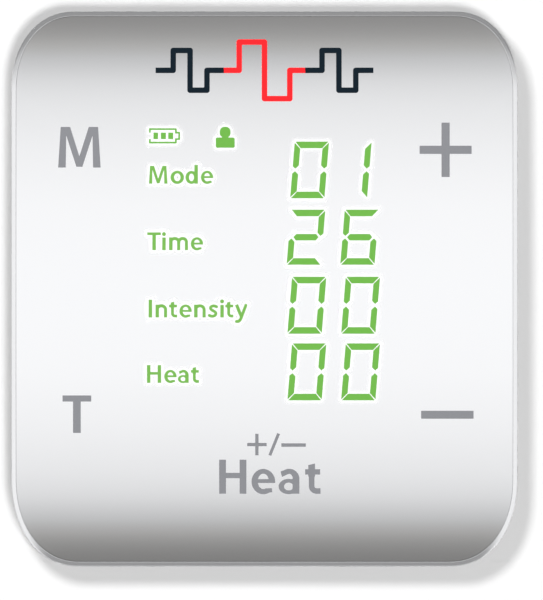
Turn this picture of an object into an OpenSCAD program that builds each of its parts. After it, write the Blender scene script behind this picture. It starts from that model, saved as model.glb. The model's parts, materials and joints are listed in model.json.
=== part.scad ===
// Pocket nerve stimulator (TENS) with a heat function: a rounded square unit with a
// domed mirror-silver touch panel, a green segment display behind it, two lead
// sockets in the top edge, a charging port with a soft cover in the left edge, a
// slide switch in the right edge and a sprung belt clip on the back.
//
// The modules draw the device lying on its back, in millimetres: x to the right from
// the middle, y up from the bottom edge, z from the back face to the panel.
// place() stands it upright, so that z becomes -Y and y becomes +Z.

/* [Body] */
// Width of the body
body_width = 66; // [65:0.5:70]
// Height of the body
body_height = 72.4; // [71.6:0.2:78]
// Horizontal reach of the upper corner curves
corner_top_x = 8.2; // [7.4:0.2:9]
// Horizontal reach of the lower corner curves
corner_low_x = 8.8; // [7.4:0.2:9.2]
// Vertical reach of the upper corner curves
corner_top_y = 10.3; // [9:0.1:11]
// Vertical reach of the lower corner curves
corner_low_y = 11.5; // [10:0.1:12.5]
// Squareness of the corner curves, 2 is an ellipse
corner_squareness = 2.14; // [2:0.02:2.4]
// Radius of the rounding round the back
back_radius = 4.0; // [3.5:0.1:4.4]
// Wall thickness of both shells
wall = 1.6; // [1.5:0.05:1.65]
// Height of the parting line above the back face
parting_z = 9.0; // [8.95:0.05:9.2]

/* [Panel] */
// Height of the panel crown above the back face
dome_top = 15.5; // [15:0.1:16]
// How far the panel falls away at its upper and lower ends
dome_drop = 1.15; // [0.6:0.05:1.3]
// How late the panel starts to fall away
dome_power = 3.2; // [2:0.2:4]
// Width of the trim ring round the panel
trim_width = 0.55; // [0.45:0.05:0.6]

/* [Display] */
// Width of one digit
digit_width = 4.45; // [4:0.05:4.6]
// Height of one digit
digit_height = 7.37; // [6.6:0.05:7.6]
// Stroke width of one segment
stroke = 0.76; // [0.6:0.02:0.9]
// Distance from one row of digits to the next
row_pitch = 8.76; // [8.4:0.02:8.9]

/* [Sockets and switch] */
// Half the distance between the two lead sockets
socket_x = 12; // [11:0.5:13]
// Bore radius of a lead socket, for a 3.5 mm plug
bore_radius = 1.8; // [1.77:0.01:1.85]
// Travel of the power switch
switch_travel = 2; // [1.5:0.1:2]

/* [Belt clip] */
// Width of the belt clip
clip_width = 24; // [22:0.5:26]
// Radius of the hinge pin
pin_radius = 0.75; // [0.7:0.01:0.76]
// Number of turns in the clip spring
spring_turns = 6; // [4:1:7]

/* [Hidden] */
$fn = 64;

// Steps in each corner curve
corner_steps = 14;
coarse_steps = 8;              // hidden parts
fine_steps = 20;               // panel and trim ring

// Levels
clip_back = -5.8;              // outermost face of the clip
trim_top = dome_top + 0.1;     // highest point of the trim ring
middle_z = (trim_top + clip_back) / 2;
board_back = 7.6;
board_front = 8.8;
floor_back = 11.5;             // underside of the front frame's floor
floor_front = 12.8;            // seat of the lens adhesive
frame_top = 13.9;              // front edge of the frame, under the trim ring
lens_back = 13.0;              // flat rear face of the lens

// Places
middle_y = body_height / 2;
edge_x = body_width / 2;
port_y = middle_y - 0.3;       // middle of the charging port
port_z = 6.35;
fold_y = port_y - 5.4;         // fold line of the port cover
peg_y = fold_y - 1.5;          // peg that holds the port cover
peg_z = port_z - 0.2;
switch_y = middle_y + 4.7;     // middle of the power switch's slot
switch_z = 5.85;
socket_z = 5.0;
hinge_y = body_height - 15.6;  // belt clip hinge
hinge_z = -2.1;
pin_hole = pin_radius + 0.05;
case_screw_x = edge_x - 7.5;
case_screw_spots = [for (side = [-1, 1], y = [10.6, body_height - 10.4])
    [side * case_screw_x, y]];
board_screw_spots = [for (side = [-1, 1]) [side * 22.5, middle_y + 6.7]];
first_row = body_height - 17.13;   // top of the first row of digits
display_half = 17.3;               // half the width of the display
display_y = [first_row - 35.9, first_row + 4.2];
// Middles of the five touch keys
keys = [[-24.2, first_row - 1], [23.6, first_row - 1], [-24.4, 20.1], [23.8, 20.1], [0.5, 13.6]];
// Left edge of each digit, with its row
cells = [[4.0, 0], [9.55, 0], [3.6, 1], [10.6, 1], [3.6, 2], [10.6, 2], [3.6, 3], [10.6, 3]];

// Colours used by more than one part
shell_white = [0.93, 0.93, 0.94];
cover_grey = [0.8, 0.81, 0.82];
satin_metal = [0.75, 0.76, 0.78];
steel = [0.7, 0.7, 0.72];
chip_black = [0.12, 0.12, 0.13];

// ---------- shared shapes ----------
// Ranges along an axis, as [from, to]
function around(centre, half) = [centre - half, centre + half];
function span(start, length) = [start, start + length];
function behind_board(height) = [board_back - height, board_back];
function on_board(height) = [board_front, board_front + height];

module place() {
    translate([0, middle_z, 0]) rotate([90, 0, 0]) children();
}

function signed_power(x, power) = x < 0 ? -pow(-x, power) : pow(x, power);
// A quarter of a superellipse, counter-clockwise from the start angle
function corner(centre, reach, start, steps) =
    [for (i = [0:steps]) let (angle = start + 90 * i / steps)
        [centre.x + reach.x * signed_power(cos(angle), 2 / corner_squareness),
         centre.y + reach.y * signed_power(sin(angle), 2 / corner_squareness)]];
// The body's outline, moved in from the outer edge by the inset
function outline(inset, steps = corner_steps) =
    let (top_x = edge_x - corner_top_x,
         low_x = edge_x - corner_low_x,
         top_y = body_height - corner_top_y,
         top_reach = [corner_top_x - inset, corner_top_y - inset],
         low_reach = [corner_low_x - inset, corner_low_y - inset])
    concat(corner([top_x, top_y], top_reach, 0, steps),
           corner([-top_x, top_y], top_reach, 90, steps),
           corner([-low_x, corner_low_y], low_reach, 180, steps),
           corner([low_x, corner_low_y], low_reach, 270, steps));

module slab(inset, z, steps = corner_steps) {
    translate([0, 0, z[0]]) linear_extrude(z[1] - z[0]) polygon(outline(inset, steps));
}
module ring(outer_inset, inner_inset, z, steps = corner_steps) {
    difference() {
        slab(outer_inset, z, steps);
        slab(inner_inset, [z[0] - 1, z[1] + 1], steps);
    }
}

// Extrudes a sheet drawn in y and z along x
module along_x(length, centre = 0) {
    translate([centre - length / 2, 0, 0]) rotate([90, 0, 90]) linear_extrude(length) children();
}

// Level of the panel at y
function dome(y) =
    dome_top - dome_drop * pow(min(1.03, abs(y - middle_y) / (middle_y - 0.6)), dome_power);
// All that lies between the base level and the panel, lifted
module under_dome(lift, base = 12) {
    curve = [for (i = [-1:33]) let (y = middle_y + (middle_y + 0.4) * (2 * i / 32 - 1))
        [y, dome(y) + lift]];
    along_x(body_width + 6) polygon(concat([[-2, base]], curve, [[body_height + 3, base]]));
}

// In these, x, y and z are ranges, but for the two that place a rod's axis
module box(x, y, z) {
    translate([x[0], y[0], z[0]]) cube([x[1] - x[0], y[1] - y[0], z[1] - z[0]]);
}
// A box with round corners seen along x
module pill(x, y, z, radius) {
    along_x(x[1] - x[0], (x[0] + x[1]) / 2) hull()
        for (a = [y[0] + radius, y[1] - radius], b = [z[0] + radius, z[1] - radius])
            translate([a, b]) circle(radius, $fn = 32);
}
module rod_x(radius, x, y, z) {
    translate([x[0], y, z]) rotate([0, 90, 0]) cylinder(r = radius, h = x[1] - x[0]);
}
module rod_y(radius, x, y, z) {
    translate([x, y[0], z]) rotate([-90, 0, 0]) cylinder(r = radius, h = y[1] - y[0]);
}
module rod_z(radius, spot, z) {
    translate([spot.x, spot.y, z[0]]) cylinder(r = radius, h = z[1] - z[0]);
}

// A wire along a path whose turns lie across the axis
function unit(vector) = vector / norm(vector);
function directions(path) = let (last = len(path) - 1)
    [for (i = [0:last]) unit(path[min(i + 1, last)] - path[max(i - 1, 0)])];
module wire(path, radius, axis, sides = 6) {
    along = directions(path);
    last = len(path) - 1;
    points = [for (i = [0:last])
        let (across = unit(cross(along[i], axis)), other = cross(across, along[i]))
        for (k = [0:sides - 1])
            path[i] + radius * (cos(360 * k / sides) * other + sin(360 * k / sides) * across)];
    faces = concat(
        [[for (k = [0:sides - 1]) k]],
        [for (i = [0:last - 1], k = [0:sides - 1])
            let (a = i * sides + k, b = i * sides + (k + 1) % sides)
            [b, a, a + sides, b + sides]],
        [[for (k = [sides - 1:-1:0]) last * sides + k]]);
    polyhedron(points, faces, convexity = 8);
}

// ---------- casing ----------
// Inset of the rounded back at level z
function back_inset(z, radius) =
    z >= radius ? 0 : radius - sqrt(radius * radius - (radius - z) * (radius - z));
// The rear shell's outer form: loops of the outline, joined in strips
module pillow(radius, top) {
    steps = 7;
    levels = concat([for (k = [0:steps - 1]) radius * (1 - cos(90 * k / (steps - 1)))], [top]);
    count = len(outline(0));
    points = [for (z = levels, p = outline(back_inset(z, radius))) [p.x, p.y, z]];
    strips = [for (k = [0:steps - 1], i = [0:count - 1], half = [0, 1])
        let (a = k * count + i, b = k * count + (i + 1) % count)
        half == 0 ? [a, a + count, b + count] : [a, b + count, b]];
    polyhedron(points,
        concat([[for (i = [0:count - 1]) i]], strips,
               [[for (i = [count - 1:-1:0]) steps * count + i]]),
        convexity = 4);
}

module hollow_back() {
    difference() {
        pillow(back_radius, parting_z);
        // the hollow, stepped in behind the rounding
        slab(wall + 1.6, [wall, wall + 1], coarse_steps);
        slab(wall + 0.7, [wall + 0.8, 4.2], coarse_steps);
        slab(wall, [4, parting_z + 1]);
        // rebate for the front frame's tongue
        slab(0.85, [parting_z - 1.0, parting_z + 1]);
    }
}
module battery_ribs() {
    rib_z = [wall - 0.3, 3.9];
    for (side = [-1, 1], y = [13, 44]) box(around(side * 17.9, 0.5), span(y, 3), rib_z);
    for (x = [-12, 9]) box(span(x, 3), [7.3, 8.3], rib_z);
}
module clip_ears() {
    for (side = [-1, 1]) {
        ear_x = around(side * 10.1, 1.1);
        rod_x(1.8, ear_x, hinge_y, hinge_z);
        box(ear_x, around(hinge_y, 1.75), [hinge_z, 0.6]);
    }
}
// The charging port's opening, with the seat of its cover
module port_opening() {
    outside = -edge_x - 1;
    pill([outside, -edge_x + 0.95], [fold_y - 3.0, port_y + 5.6],
         [port_z - 1.95, port_z + 1.5], 1.1);
    box([outside, -edge_x + 2.2], around(port_y, 3.95), around(port_z, 1.4));
    rod_x(0.65, [outside, -edge_x + 2.4], peg_y, peg_z);
    // finger notch at the free end of the cover
    translate([-edge_x - 0.9, port_y + 6.0, port_z - 0.2]) sphere(r = 1.7);
}
module rear_shell() color(shell_white) {
    difference() {
        union() {
            hollow_back();
            for (spot = case_screw_spots) rod_z(3.1, spot, [wall - 0.4, 5.3]);
            battery_ribs();
            clip_ears();
        }
        // shadow line at the joint between the shells
        ring(-1, 0.22, [parting_z - 0.22, parting_z + 1]);
        // screw wells
        for (spot = case_screw_spots) {
            rod_z(2.15, spot, [-1, 2.2]);
            rod_z(1.15, spot, [2.1, 6]);
        }
        rod_x(pin_hole, [-12, 12], hinge_y, hinge_z);
        // holes for the lead sockets
        for (side = [-1, 1])
            rod_y(2.65, side * socket_x, [body_height - 3.2, body_height + 1], socket_z);
        port_opening();
        // power switch slot
        pill([edge_x - 2.2, edge_x + 1], around(switch_y, 3.6), around(switch_z, 1.6), 1.1);
    }
}

module front_frame() color(shell_white) {
    window_gap = 0.3;
    floor_cut = [floor_back - 1, floor_front + 1];
    post_top = floor_back + 0.3;
    difference() {
        union() {
            difference() {
                slab(0, [parting_z, frame_top]);
                slab(wall + 0.1, [parting_z - 1, floor_back]);
                slab(0.62, [floor_front, 15]);
            }
            // tongue that enters the rear shell's rebate
            ring(0.92, wall - 0.02, [parting_z - 0.95, parting_z + 0.3]);
            for (spot = case_screw_spots) rod_z(2.6, spot, [5.4, post_top]);
            for (spot = board_screw_spots) rod_z(1.9, spot, [board_front, post_top]);
        }
        // window for the display, and holes for the touch springs
        box(around(0, display_half + window_gap),
            [display_y[0] - window_gap, display_y[1] + window_gap], floor_cut);
        for (key = keys) rod_z(3.6, key, floor_cut);
        // screw holes
        for (spot = case_screw_spots) rod_z(1.0, spot, [5, 10.9]);
        for (spot = board_screw_spots) rod_z(0.8, spot, [board_front - 1, floor_back]);
    }
}

module bezel_ring() color([0.86, 0.87, 0.88]) {
    intersection() {
        ring(0, trim_width, [frame_top, trim_top + 1], fine_steps);
        under_dome(trim_top - dome_top);
    }
}
module front_lens() color([0.84, 0.85, 0.86]) {
    intersection() {
        slab(trim_width + 0.1, [lens_back, trim_top + 1], fine_steps);
        under_dome(0);
    }
}
module lens_adhesive() color([0.15, 0.15, 0.16]) ring(0.95, 3.0, [floor_front, lens_back]);

// ---------- display ----------
segment_gap = 0.07;
digit_lean = 0.098;
segment_names = ["a", "b", "c", "d", "e", "f", "g"];
// Windows beside the digits: left, right, distance of the top below the first row's top
labels = [[-15.5, -6.4, 2.9], [-15.5, -7.8, 11.6], [-15.5, -1.9, 20.4], [-15.7, -8.3, 29.0]];
label_height = 2.9;

function flipped(points) = [for (p = points) [digit_width - p.x, p.y]];
// One segment of an upright digit, as x from the left and y down from the top
function segment(name) =
    let (wide = digit_width, high = digit_height, gap = segment_gap,
         mid = high / 2, half = stroke / 2)
    name == "a" ? [[gap, 0], [wide - gap, 0],
                   [wide - stroke - gap / 2, stroke], [stroke + gap / 2, stroke]] :
    name == "d" ? [[stroke + gap / 2, high - stroke], [wide - stroke - gap / 2, high - stroke],
                   [wide - gap, high], [gap, high]] :
    name == "f" ? [[0, gap], [stroke, stroke + gap], [stroke, mid - half - gap],
                   [half, mid - gap - 0.1], [0, mid - half - gap]] :
    name == "e" ? [[0, mid + half + gap], [half, mid + gap + 0.1], [stroke, mid + half + gap],
                   [stroke, high - stroke - gap], [0, high - gap]] :
    name == "b" ? flipped(segment("f")) :
    name == "c" ? flipped(segment("e")) :
    [[half + gap, mid], [stroke + gap, mid - half], [wide - stroke - gap, mid - half],
     [wide - half - gap, mid], [wide - stroke - gap, mid + half], [stroke + gap, mid + half]];
// Middle of the points' extent
function middle(points) =
    [for (i = [0, 1]) let (values = [for (p = points) p[i]]) (min(values) + max(values)) / 2];
// From a digit cell to the panel, with the lean added
function on_panel(cell, p) =
    [cell[0] + p.x - digit_lean * p.y, first_row - row_pitch * cell[1] - p.y];

module light_guide_block() color([0.95, 0.95, 0.95]) {
    through = [board_front - 1, 13];
    difference() {
        box(around(0, display_half), display_y, [board_front + 0.05, 12.6]);
        for (cell = cells, name = segment_names)
            translate([0, 0, board_front - 0.5]) linear_extrude(5)
                polygon([for (p = segment(name)) on_panel(cell, p)]);
        for (label = labels)
            box([label[0], label[1]], span(first_row - label[2] - label_height, label_height),
                through);
        // two windows above the labels
        box([-15.1, -10.8], [first_row - 0.3, first_row + 1.9], through);
        box([-6.5, -3.7], [first_row - 0.9, first_row + 2.1], through);
        // slot in the rear face, near the right edge
        box([15.8, 16.6], [first_row - 33, first_row + 2], [board_front - 1, board_front + 1.2]);
    }
}
module display_film() color([0.8, 0.9, 0.8])
    box(around(0, display_half), display_y, [12.62, 12.78]);

module label_led(x, y) {
    box(around(x, 0.5), around(y, 0.4), on_board(0.6));
}
module led_chips() color([0.5, 0.85, 0.3]) {
    for (cell = cells, name = segment_names) {
        spot = on_panel(cell, middle(segment(name)));
        box(around(spot.x, 0.3), around(spot.y, 0.3), on_board(0.5));
    }
    for (label = labels, part = [0.25, 0.75])
        label_led(label[0] + part * (label[1] - label[0]),
                  first_row - label[2] - label_height / 2);
    for (x = [-12.95, -5.1]) label_led(x, first_row + 0.8);
}

// Touch springs stand between the board and the back of the lens
coil_wire = 0.22;
coil_turns = 5;
coil_height = lens_back - 0.05 - board_front;
// Height of the wire's middle after some turns, with a closer turn at each end
function coil_rise(turn) =
    turn < 1 ? coil_wire + 1.2 * coil_wire * turn :
    turn > coil_turns - 1 ? coil_height - coil_wire - 1.2 * coil_wire * (coil_turns - turn) :
    2.2 * coil_wire + (coil_height - 4.4 * coil_wire) * (turn - 1) / (coil_turns - 2);
module touch_spring(spot) {
    radius = 2.5;
    steps = 14;
    path = [for (i = [0:steps * coil_turns]) let (turn = i / steps)
        [spot.x + radius * cos(360 * turn), spot.y + radius * sin(360 * turn),
         board_front + coil_rise(turn)]];
    wire(path, coil_wire, [0, 0, 1]);
}
module touch_springs() color([0.9, 0.8, 0.5]) for (key = keys) touch_spring(key);

// ---------- board and its parts ----------
module main_board() color([0.1, 0.4, 0.25]) {
    through = [7, 9];
    difference() {
        slab(2.35, [board_back, board_front], coarse_steps);
        for (spot = case_screw_spots) rod_z(2.8, spot, through);
        for (spot = board_screw_spots) rod_z(0.9, spot, through);
        // notch in the lower edge
        box([-4, 4], [-1, 4.2], through);
    }
}

module processor_chip() color(chip_black) {
    centre = [23.4, 23];
    leg_pitch = 0.8;
    leg_reach = 3.9;
    box(around(centre.x, 3.5), around(centre.y, 3.5), [board_back - 1.35, board_back - 0.15]);
    for (i = [-3.5:3.5], side = [-1, 1]) {
        box(around(centre.x + i * leg_pitch, 0.15), around(centre.y + side * leg_reach, 0.5),
            behind_board(0.4));
        box(around(centre.x + side * leg_reach, 0.5), around(centre.y + i * leg_pitch, 0.15),
            behind_board(0.4));
    }
}

// Rows of small parts: lower left corner of the first, count, step, size, height
rear_parts = [
    [[19.4, 15.6], 5, [1.9, 0], [1, 0.5], 0.5],
    [[-28.4, 24.5], 4, [0, 1.6], [1, 0.6], 0.5],
    [[19.5, 29.5], 4, [2, 0], [1.4, 1.2], 0.9],
    [[-24, 28.6], 1, [0, 0], [3.4, 2.6], 1.2],
    [[-24.5, 33.4], 1, [0, 0], [3.2, 3.2], 1.3],
    [[20.2, 34.4], 1, [0, 0], [5, 4.8], 2.6]];   // power inductor
front_parts = [
    [[18.1, 52.5], 1, [0, 0], [2, 3.2], 0.9],    // crystal
    [[-27.5, 31], 4, [0, 2], [1, 0.8], 0.5],
    [[25.5, 31], 4, [0, 2], [1, 0.8], 0.5],
    [[-9, body_height - 9.4], 3, [3, 0], [1.6, 0.8], 0.7]];
module part_row(row, z) {
    for (i = [0:row[1] - 1]) {
        start = row[0] + i * row[2];
        box(span(start.x, row[3].x), span(start.y, row[3].y), z);
    }
}
module small_components() color([0.6, 0.5, 0.35]) {
    for (row = rear_parts) part_row(row, behind_board(row[4]));
    for (row = front_parts) part_row(row, on_board(row[4]));
}

transformers = [for (side = [-1, 1]) [side * 23, body_height - 21.1]];
module transformer_cores() color([0.25, 0.25, 0.27]) {
    for (spot = transformers) difference() {
        box(around(spot.x, 4.2), around(spot.y, 3.8), [3.0, 7.0]);
        for (side = [-1, 1])
            box(around(spot.x + side * 2.2, 1.0), around(spot.y, 2.7), [2, 8]);
    }
}
module transformer_windings() color([0.9, 0.75, 0.3]) {
    for (spot = transformers) {
        difference() {
            box(around(spot.x, 3.1), around(spot.y, 2.6), [2.3, board_back - 0.1]);
            // room for the middle leg of the core
            box(around(spot.x, 1.3), around(spot.y, 3), [2.9, 7.1]);
        }
        // legs
        for (side = [-1, 1], i = [-1, 0, 1])
            box(around(spot.x + i * 1.6, 0.2), around(spot.y + side * 4.6, 0.75),
                behind_board(0.45));
    }
}

// Half section of the capacitor: radius, distance along its axis
capacitor_profile = [[0, 0], [2.2, 0], [2.45, 0.25], [2.45, 0.9], [2.25, 1.15], [2.45, 1.4],
                     [2.45, 6.8], [2.2, 7.1], [0, 7.1]];
module storage_capacitor() color([0.2, 0.25, 0.4]) {
    translate([0, body_height - 15.4, 5.0]) rotate([-90, 0, 0])
        rotate_extrude() polygon(capacitor_profile);
}

module buzzer() color(chip_black) {
    centre = [-23.3, 20.3];
    difference() {
        union() {
            box(around(centre.x, 4.1), around(centre.y, 4.1), behind_board(1.4));
            rod_z(3.9, centre, [board_back - 3.2, board_back - 0.8]);
        }
        // sound hole
        rod_z(0.8, centre, [board_back - 4, board_back - 1.8]);
    }
}

// ---------- lead sockets ----------
// A moulded block with a round nose and a blind bore
module lead_socket(side) color([0.13, 0.13, 0.14]) {
    x = side * socket_x;
    difference() {
        union() {
            box(around(x, 3), [body_height - 14.1, body_height - 3.4], around(socket_z, 2.5));
            rod_y(2.5, x, [body_height - 3.6, body_height - 0.35], socket_z);
        }
        rod_y(bore_radius, x, [body_height - 12.6, body_height + 1], socket_z);
        // windows for the contact springs
        box(around(x, 0.6), [body_height - 12, body_height - 5], [socket_z + 1.85, socket_z + 3]);
        for (flank = [-1, 1])
            box(around(x + flank * 2.4, 0.55), around(body_height - 8.5, 2),
                around(socket_z, 0.6));
    }
}
module socket_contacts() color([0.85, 0.75, 0.45]) {
    low_end = body_height - 11.8;
    back = socket_z + 1.95;
    for (side = [-1, 1]) {
        x = side * socket_x;
        // front contact, with its foot up to the board
        box(around(x, 0.5), [low_end, body_height - 5.2], [back, socket_z + 2.15]);
        box(around(x, 0.5), [low_end, body_height - 11.4], [back, board_back]);
        for (flank = [-1, 1])
            box(around(x + flank * 2.1, 0.1), around(body_height - 8.5, 1.8),
                around(socket_z, 0.5));
    }
}

// ---------- charging port ----------
module charge_port_shell() color(satin_metal) {
    difference() {
        pill([-edge_x + 1.0, -edge_x + 6.2], around(port_y, 3.75), around(port_z, 1.25), 0.5);
        pill([-edge_x + 0.5, -edge_x + 5.9], around(port_y, 3.5), around(port_z, 1.0), 0.3);
    }
}
module charge_port_tongue() color([0.1, 0.1, 0.1]) {
    inner_end = -edge_x + 5.85;
    box([-edge_x + 2.1, inner_end], around(port_y, 2.0), [port_z - 0.1, port_z + 0.5]);
    box([-edge_x + 4.9, inner_end], around(port_y, 3.3), around(port_z, 0.9));
}

// The soft cover's outer flap over a range of y
module cover_flap(y) {
    pill([-edge_x, -edge_x + 0.85], y, [port_z - 1.75, port_z + 1.3], 0.95);
}
// A cut through the cover's full thickness, or from inside it to leave a thin skin
module cover_cut(y, skin = -1) {
    box([-edge_x + skin, -edge_x + (skin < 0 ? 2 : 3)], y, [3, 9]);
}
fold_skin = 0.4;               // thickness left where the cover folds
// The moving part of the soft cover, from its fold line to its free end
module port_cover() color(cover_grey) {
    difference() {
        union() {
            cover_flap([fold_y - 1.6, port_y + 5.35]);
            // plug that enters the port
            pill([-edge_x + 0.6, -edge_x + 1.8], around(port_y, 3.25), around(port_z, 0.85), 0.3);
        }
        cover_cut([fold_y - 3, fold_y + 0.12]);
        // recess in the plug, in front of the tongue's rear face
        box([-edge_x + 1.15, -edge_x + 3], around(port_y, 2.2), [port_z - 0.2, port_z + 2]);
        cover_cut([fold_y - 1, fold_y + 0.7], fold_skin);
    }
}
module port_cover_anchor() color(cover_grey) {
    peg_end = -edge_x + wall + 0.1;
    difference() {
        cover_flap([fold_y - 2.8, fold_y + 2]);
        cover_cut([fold_y - 0.08, fold_y + 4]);
        cover_cut([fold_y - 0.7, fold_y + 1], fold_skin);
    }
    // peg with a barbed end inside the wall
    rod_x(0.6, [-edge_x + 0.8, peg_end], peg_y, peg_z);
    translate([peg_end, peg_y, peg_z]) rotate([0, 90, 0]) cylinder(r1 = 0.95, r2 = 0.5, h = 0.8);
}

// ---------- power switch ----------
module power_switch_body() color([0.7, 0.71, 0.72]) {
    difference() {
        box([edge_x - 6, edge_x - 1.9], around(switch_y, 4.3), behind_board(3.4));
        // slot the knob's stem slides in
        box([edge_x - 3.2, edge_x], around(switch_y, switch_travel / 2 + 0.9),
            around(switch_z, 0.7));
    }
}
// The knob, at the upper end of its travel
module power_switch_knob() color(satin_metal) {
    knob_y = switch_y + switch_travel / 2;
    difference() {
        pill([edge_x - 1.55, edge_x - 0.05], around(knob_y, 2.0), around(switch_z, 1.35), 0.8);
        for (i = [-1.2, -0.4, 0.4, 1.2])
            box([edge_x - 0.35, edge_x], around(knob_y + i, 0.15), around(switch_z, 2));
    }
    box([edge_x - 3.1, edge_x - 1.5], around(knob_y, 0.75), around(switch_z, 0.6));
}

// ---------- battery ----------
wire_z = 4.8;
module battery_pack() color([0.75, 0.76, 0.8]) {
    hull() for (x = [-16.1, 16.1], z = [2.75, 6.05])
        rod_y(0.8, x, [9.2, body_height - 23.4], z);
    // raised strip along the upper end
    box([-15.9, 15.9], [body_height - 23.6, body_height - 21.6], [4.2, 5.4]);
}
module battery_foam_tape() color([0.2, 0.2, 0.2]) box([-14, 14], [12, 46], [wall + 0.01, 1.92]);
// A lead that leaves the pack at x, bends and runs at y into the connector
module lead(x, y, radius = 0.5, bend = 1.2) {
    rod_y(radius, x, [body_height - 21.55, y - bend], wire_z);
    translate([x - bend, y - bend, wire_z])
        rotate_extrude(angle = 90) translate([bend, 0]) circle(radius, $fn = 24);
    rod_x(radius, [-3.4, x - bend], y, wire_z);
}
module battery_wire_red() color([0.75, 0.1, 0.08]) lead(6.2, body_height - 17.2);
module battery_wire_black() color([0.08, 0.08, 0.08]) lead(3.6, body_height - 18.6);
module battery_connector() color([0.92, 0.9, 0.84]) {
    centre_y = body_height - 17.9;
    difference() {
        box([-8.6, -3.5], around(centre_y, 2), [3.9, board_back]);
        // slot in the rear face
        box([-8.1, -7.6], around(centre_y, 1.5), [3, 6]);
    }
}

// ---------- fasteners ----------
module cross_recess(reach, depth) {
    slot = 0.48;
    for (angle = [0, 90]) rotate([0, 0, angle])
        translate([-reach, -slot / 2, -0.01]) cube([2 * reach, slot, depth]);
}
// Pan-head screw, head at z = 0 and shank towards +z
module screw(head_radius, head_height, shank_radius, length) {
    pitch = 0.6;
    root = shank_radius * 0.8;
    head = [[0, 0], [head_radius * 0.72, 0], [head_radius, head_height * 0.45],
            [head_radius, head_height], [root, head_height]];
    thread = [for (i = [0:floor((length - 1) / pitch) - 1], k = [0, 1])
        [k == 0 ? shank_radius : root, head_height + 0.45 + i * pitch + k * pitch / 2]];
    tip = [[shank_radius * 0.75, head_height + length - 0.5], [0, head_height + length]];
    difference() {
        rotate_extrude() polygon(concat(head, thread, tip));
        cross_recess(head_radius * 0.55, head_height * 0.6);
    }
}
module case_screws() color(steel) {
    for (spot = case_screw_spots) translate([spot.x, spot.y, 0.85])
        screw(head_radius = 1.95, head_height = 1.3, shank_radius = 0.98, length = 8.4);
}
module board_screws() color(steel) {
    for (spot = board_screw_spots) translate([spot.x, spot.y, board_back - 1.0])
        screw(head_radius = 1.5, head_height = 1.0, shank_radius = 0.78, length = 3.6);
}

// ---------- belt clip ----------
// The clip's side profile: distance below the body's top edge, inner z, outer z
clip_profile = [
    [5.6, -4.75, -5.25], [6.0, -4.35, -5.62], [7, -4.1, clip_back], [15, -4.1, clip_back],
    [22, -4.08, clip_back], [29, -3.92, -5.66], [35, -3.55, -5.32], [41, -2.9, -4.72],
    [46, -2.08, -3.98], [50, -1.28, -3.28], [53, -0.62, -2.72], [54.5, -0.3, -2.45],
    [55.6, -0.16, -2.3], [56.7, -0.3, -2.35], [58, -0.95, -2.75], [59.4, -1.9, -3.35],
    [60.2, -2.6, -3.6], [60.5, -3.0, -3.4]];
// The profile along x, trimmed to a plate with round corners
module clip_plate() {
    top_radius = 5;
    low_radius = 4;
    last = len(clip_profile) - 1;
    intersection() {
        along_x(clip_width) polygon(concat(
            [for (p = clip_profile) [body_height - p[0], p[1]]],
            [for (i = [last:-1:0]) [body_height - clip_profile[i][0], clip_profile[i][2]]]));
        translate([0, 0, -8]) linear_extrude(9) hull() {
            for (side = [-1, 1])
                translate([side * (clip_width / 2 - 5), body_height - 5.6 - top_radius])
                    circle(top_radius);
            for (side = [-1, 1])
                translate([side * (clip_width / 2 - 4.5), body_height - 60.6 + low_radius])
                    circle(low_radius);
        }
    }
}
module belt_clip() color([0.9, 0.9, 0.91]) {
    difference() {
        union() {
            clip_plate();
            // knuckles on the hinge pin
            for (side = [-1, 1]) {
                knuckle_x = around(side * 7.6, 1.2);
                rod_x(1.75, knuckle_x, hinge_y, hinge_z);
                box(knuckle_x, around(hinge_y, 1.7), [-4.6, hinge_z]);
            }
        }
        rod_x(pin_hole, [-12.5, 12.5], hinge_y, hinge_z);
        // grip grooves across the thumb end
        for (i = [0:3])
            box(around(0, clip_width / 2 - 4), span(body_height - 8.4 - i * 1.6, 0.6),
                [-7, clip_back + 0.3]);
    }
}
module clip_pin() color(steel) {
    length = 22.2;
    chamfer = 0.15;
    translate([-length / 2, hinge_y, hinge_z]) rotate([0, 90, 0]) rotate_extrude()
        polygon([[0, 0], [pin_radius - chamfer, 0], [pin_radius, chamfer],
                 [pin_radius, length - chamfer], [pin_radius - chamfer, length], [0, length]]);
}
// A coil round the hinge pin, with a straight upward leg at each end
module clip_spring() color([0.6, 0.6, 0.63]) {
    radius = 1.3;
    steps = 14;
    leg = 7;
    total = spring_turns + 0.5;
    length = total * 0.64;
    left_leg = [for (f = [0, 0.5, 0.9])
        [-length / 2, hinge_y + leg * (1 - f), hinge_z + radius + 0.35 * (1 - f)]];
    coil = [for (i = [0:round(steps * total)]) let (turn = i / steps)
        [-length / 2 + length * turn / total,
         hinge_y - radius * sin(360 * turn), hinge_z + radius * cos(360 * turn)]];
    right_leg = [for (f = [0.1, 0.5, 1])
        [length / 2, hinge_y + leg * f, hinge_z - radius - 0.33 * f]];
    wire(concat(left_leg, coil, right_leg), 0.27, [1, 0, 0]);
}

place() rear_shell();
place() front_frame();
place() bezel_ring();
place() front_lens();
place() lens_adhesive();
place() display_film();
place() light_guide_block();
place() led_chips();
place() touch_springs();
place() main_board();
place() processor_chip();
place() small_components();
place() transformer_cores();
place() transformer_windings();
place() storage_capacitor();
place() buzzer();
place() lead_socket(-1);  // lead_socket_left
place() lead_socket(1);  // lead_socket_right
place() socket_contacts();
place() charge_port_shell();
place() charge_port_tongue();
place() port_cover();
place() port_cover_anchor();
place() power_switch_body();
place() power_switch_knob();
place() battery_pack();
place() battery_foam_tape();
place() battery_wire_red();
place() battery_wire_black();
place() battery_connector();
place() board_screws();
place() case_screws();
place() belt_clip();
place() clip_pin();
place() clip_spring();
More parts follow.
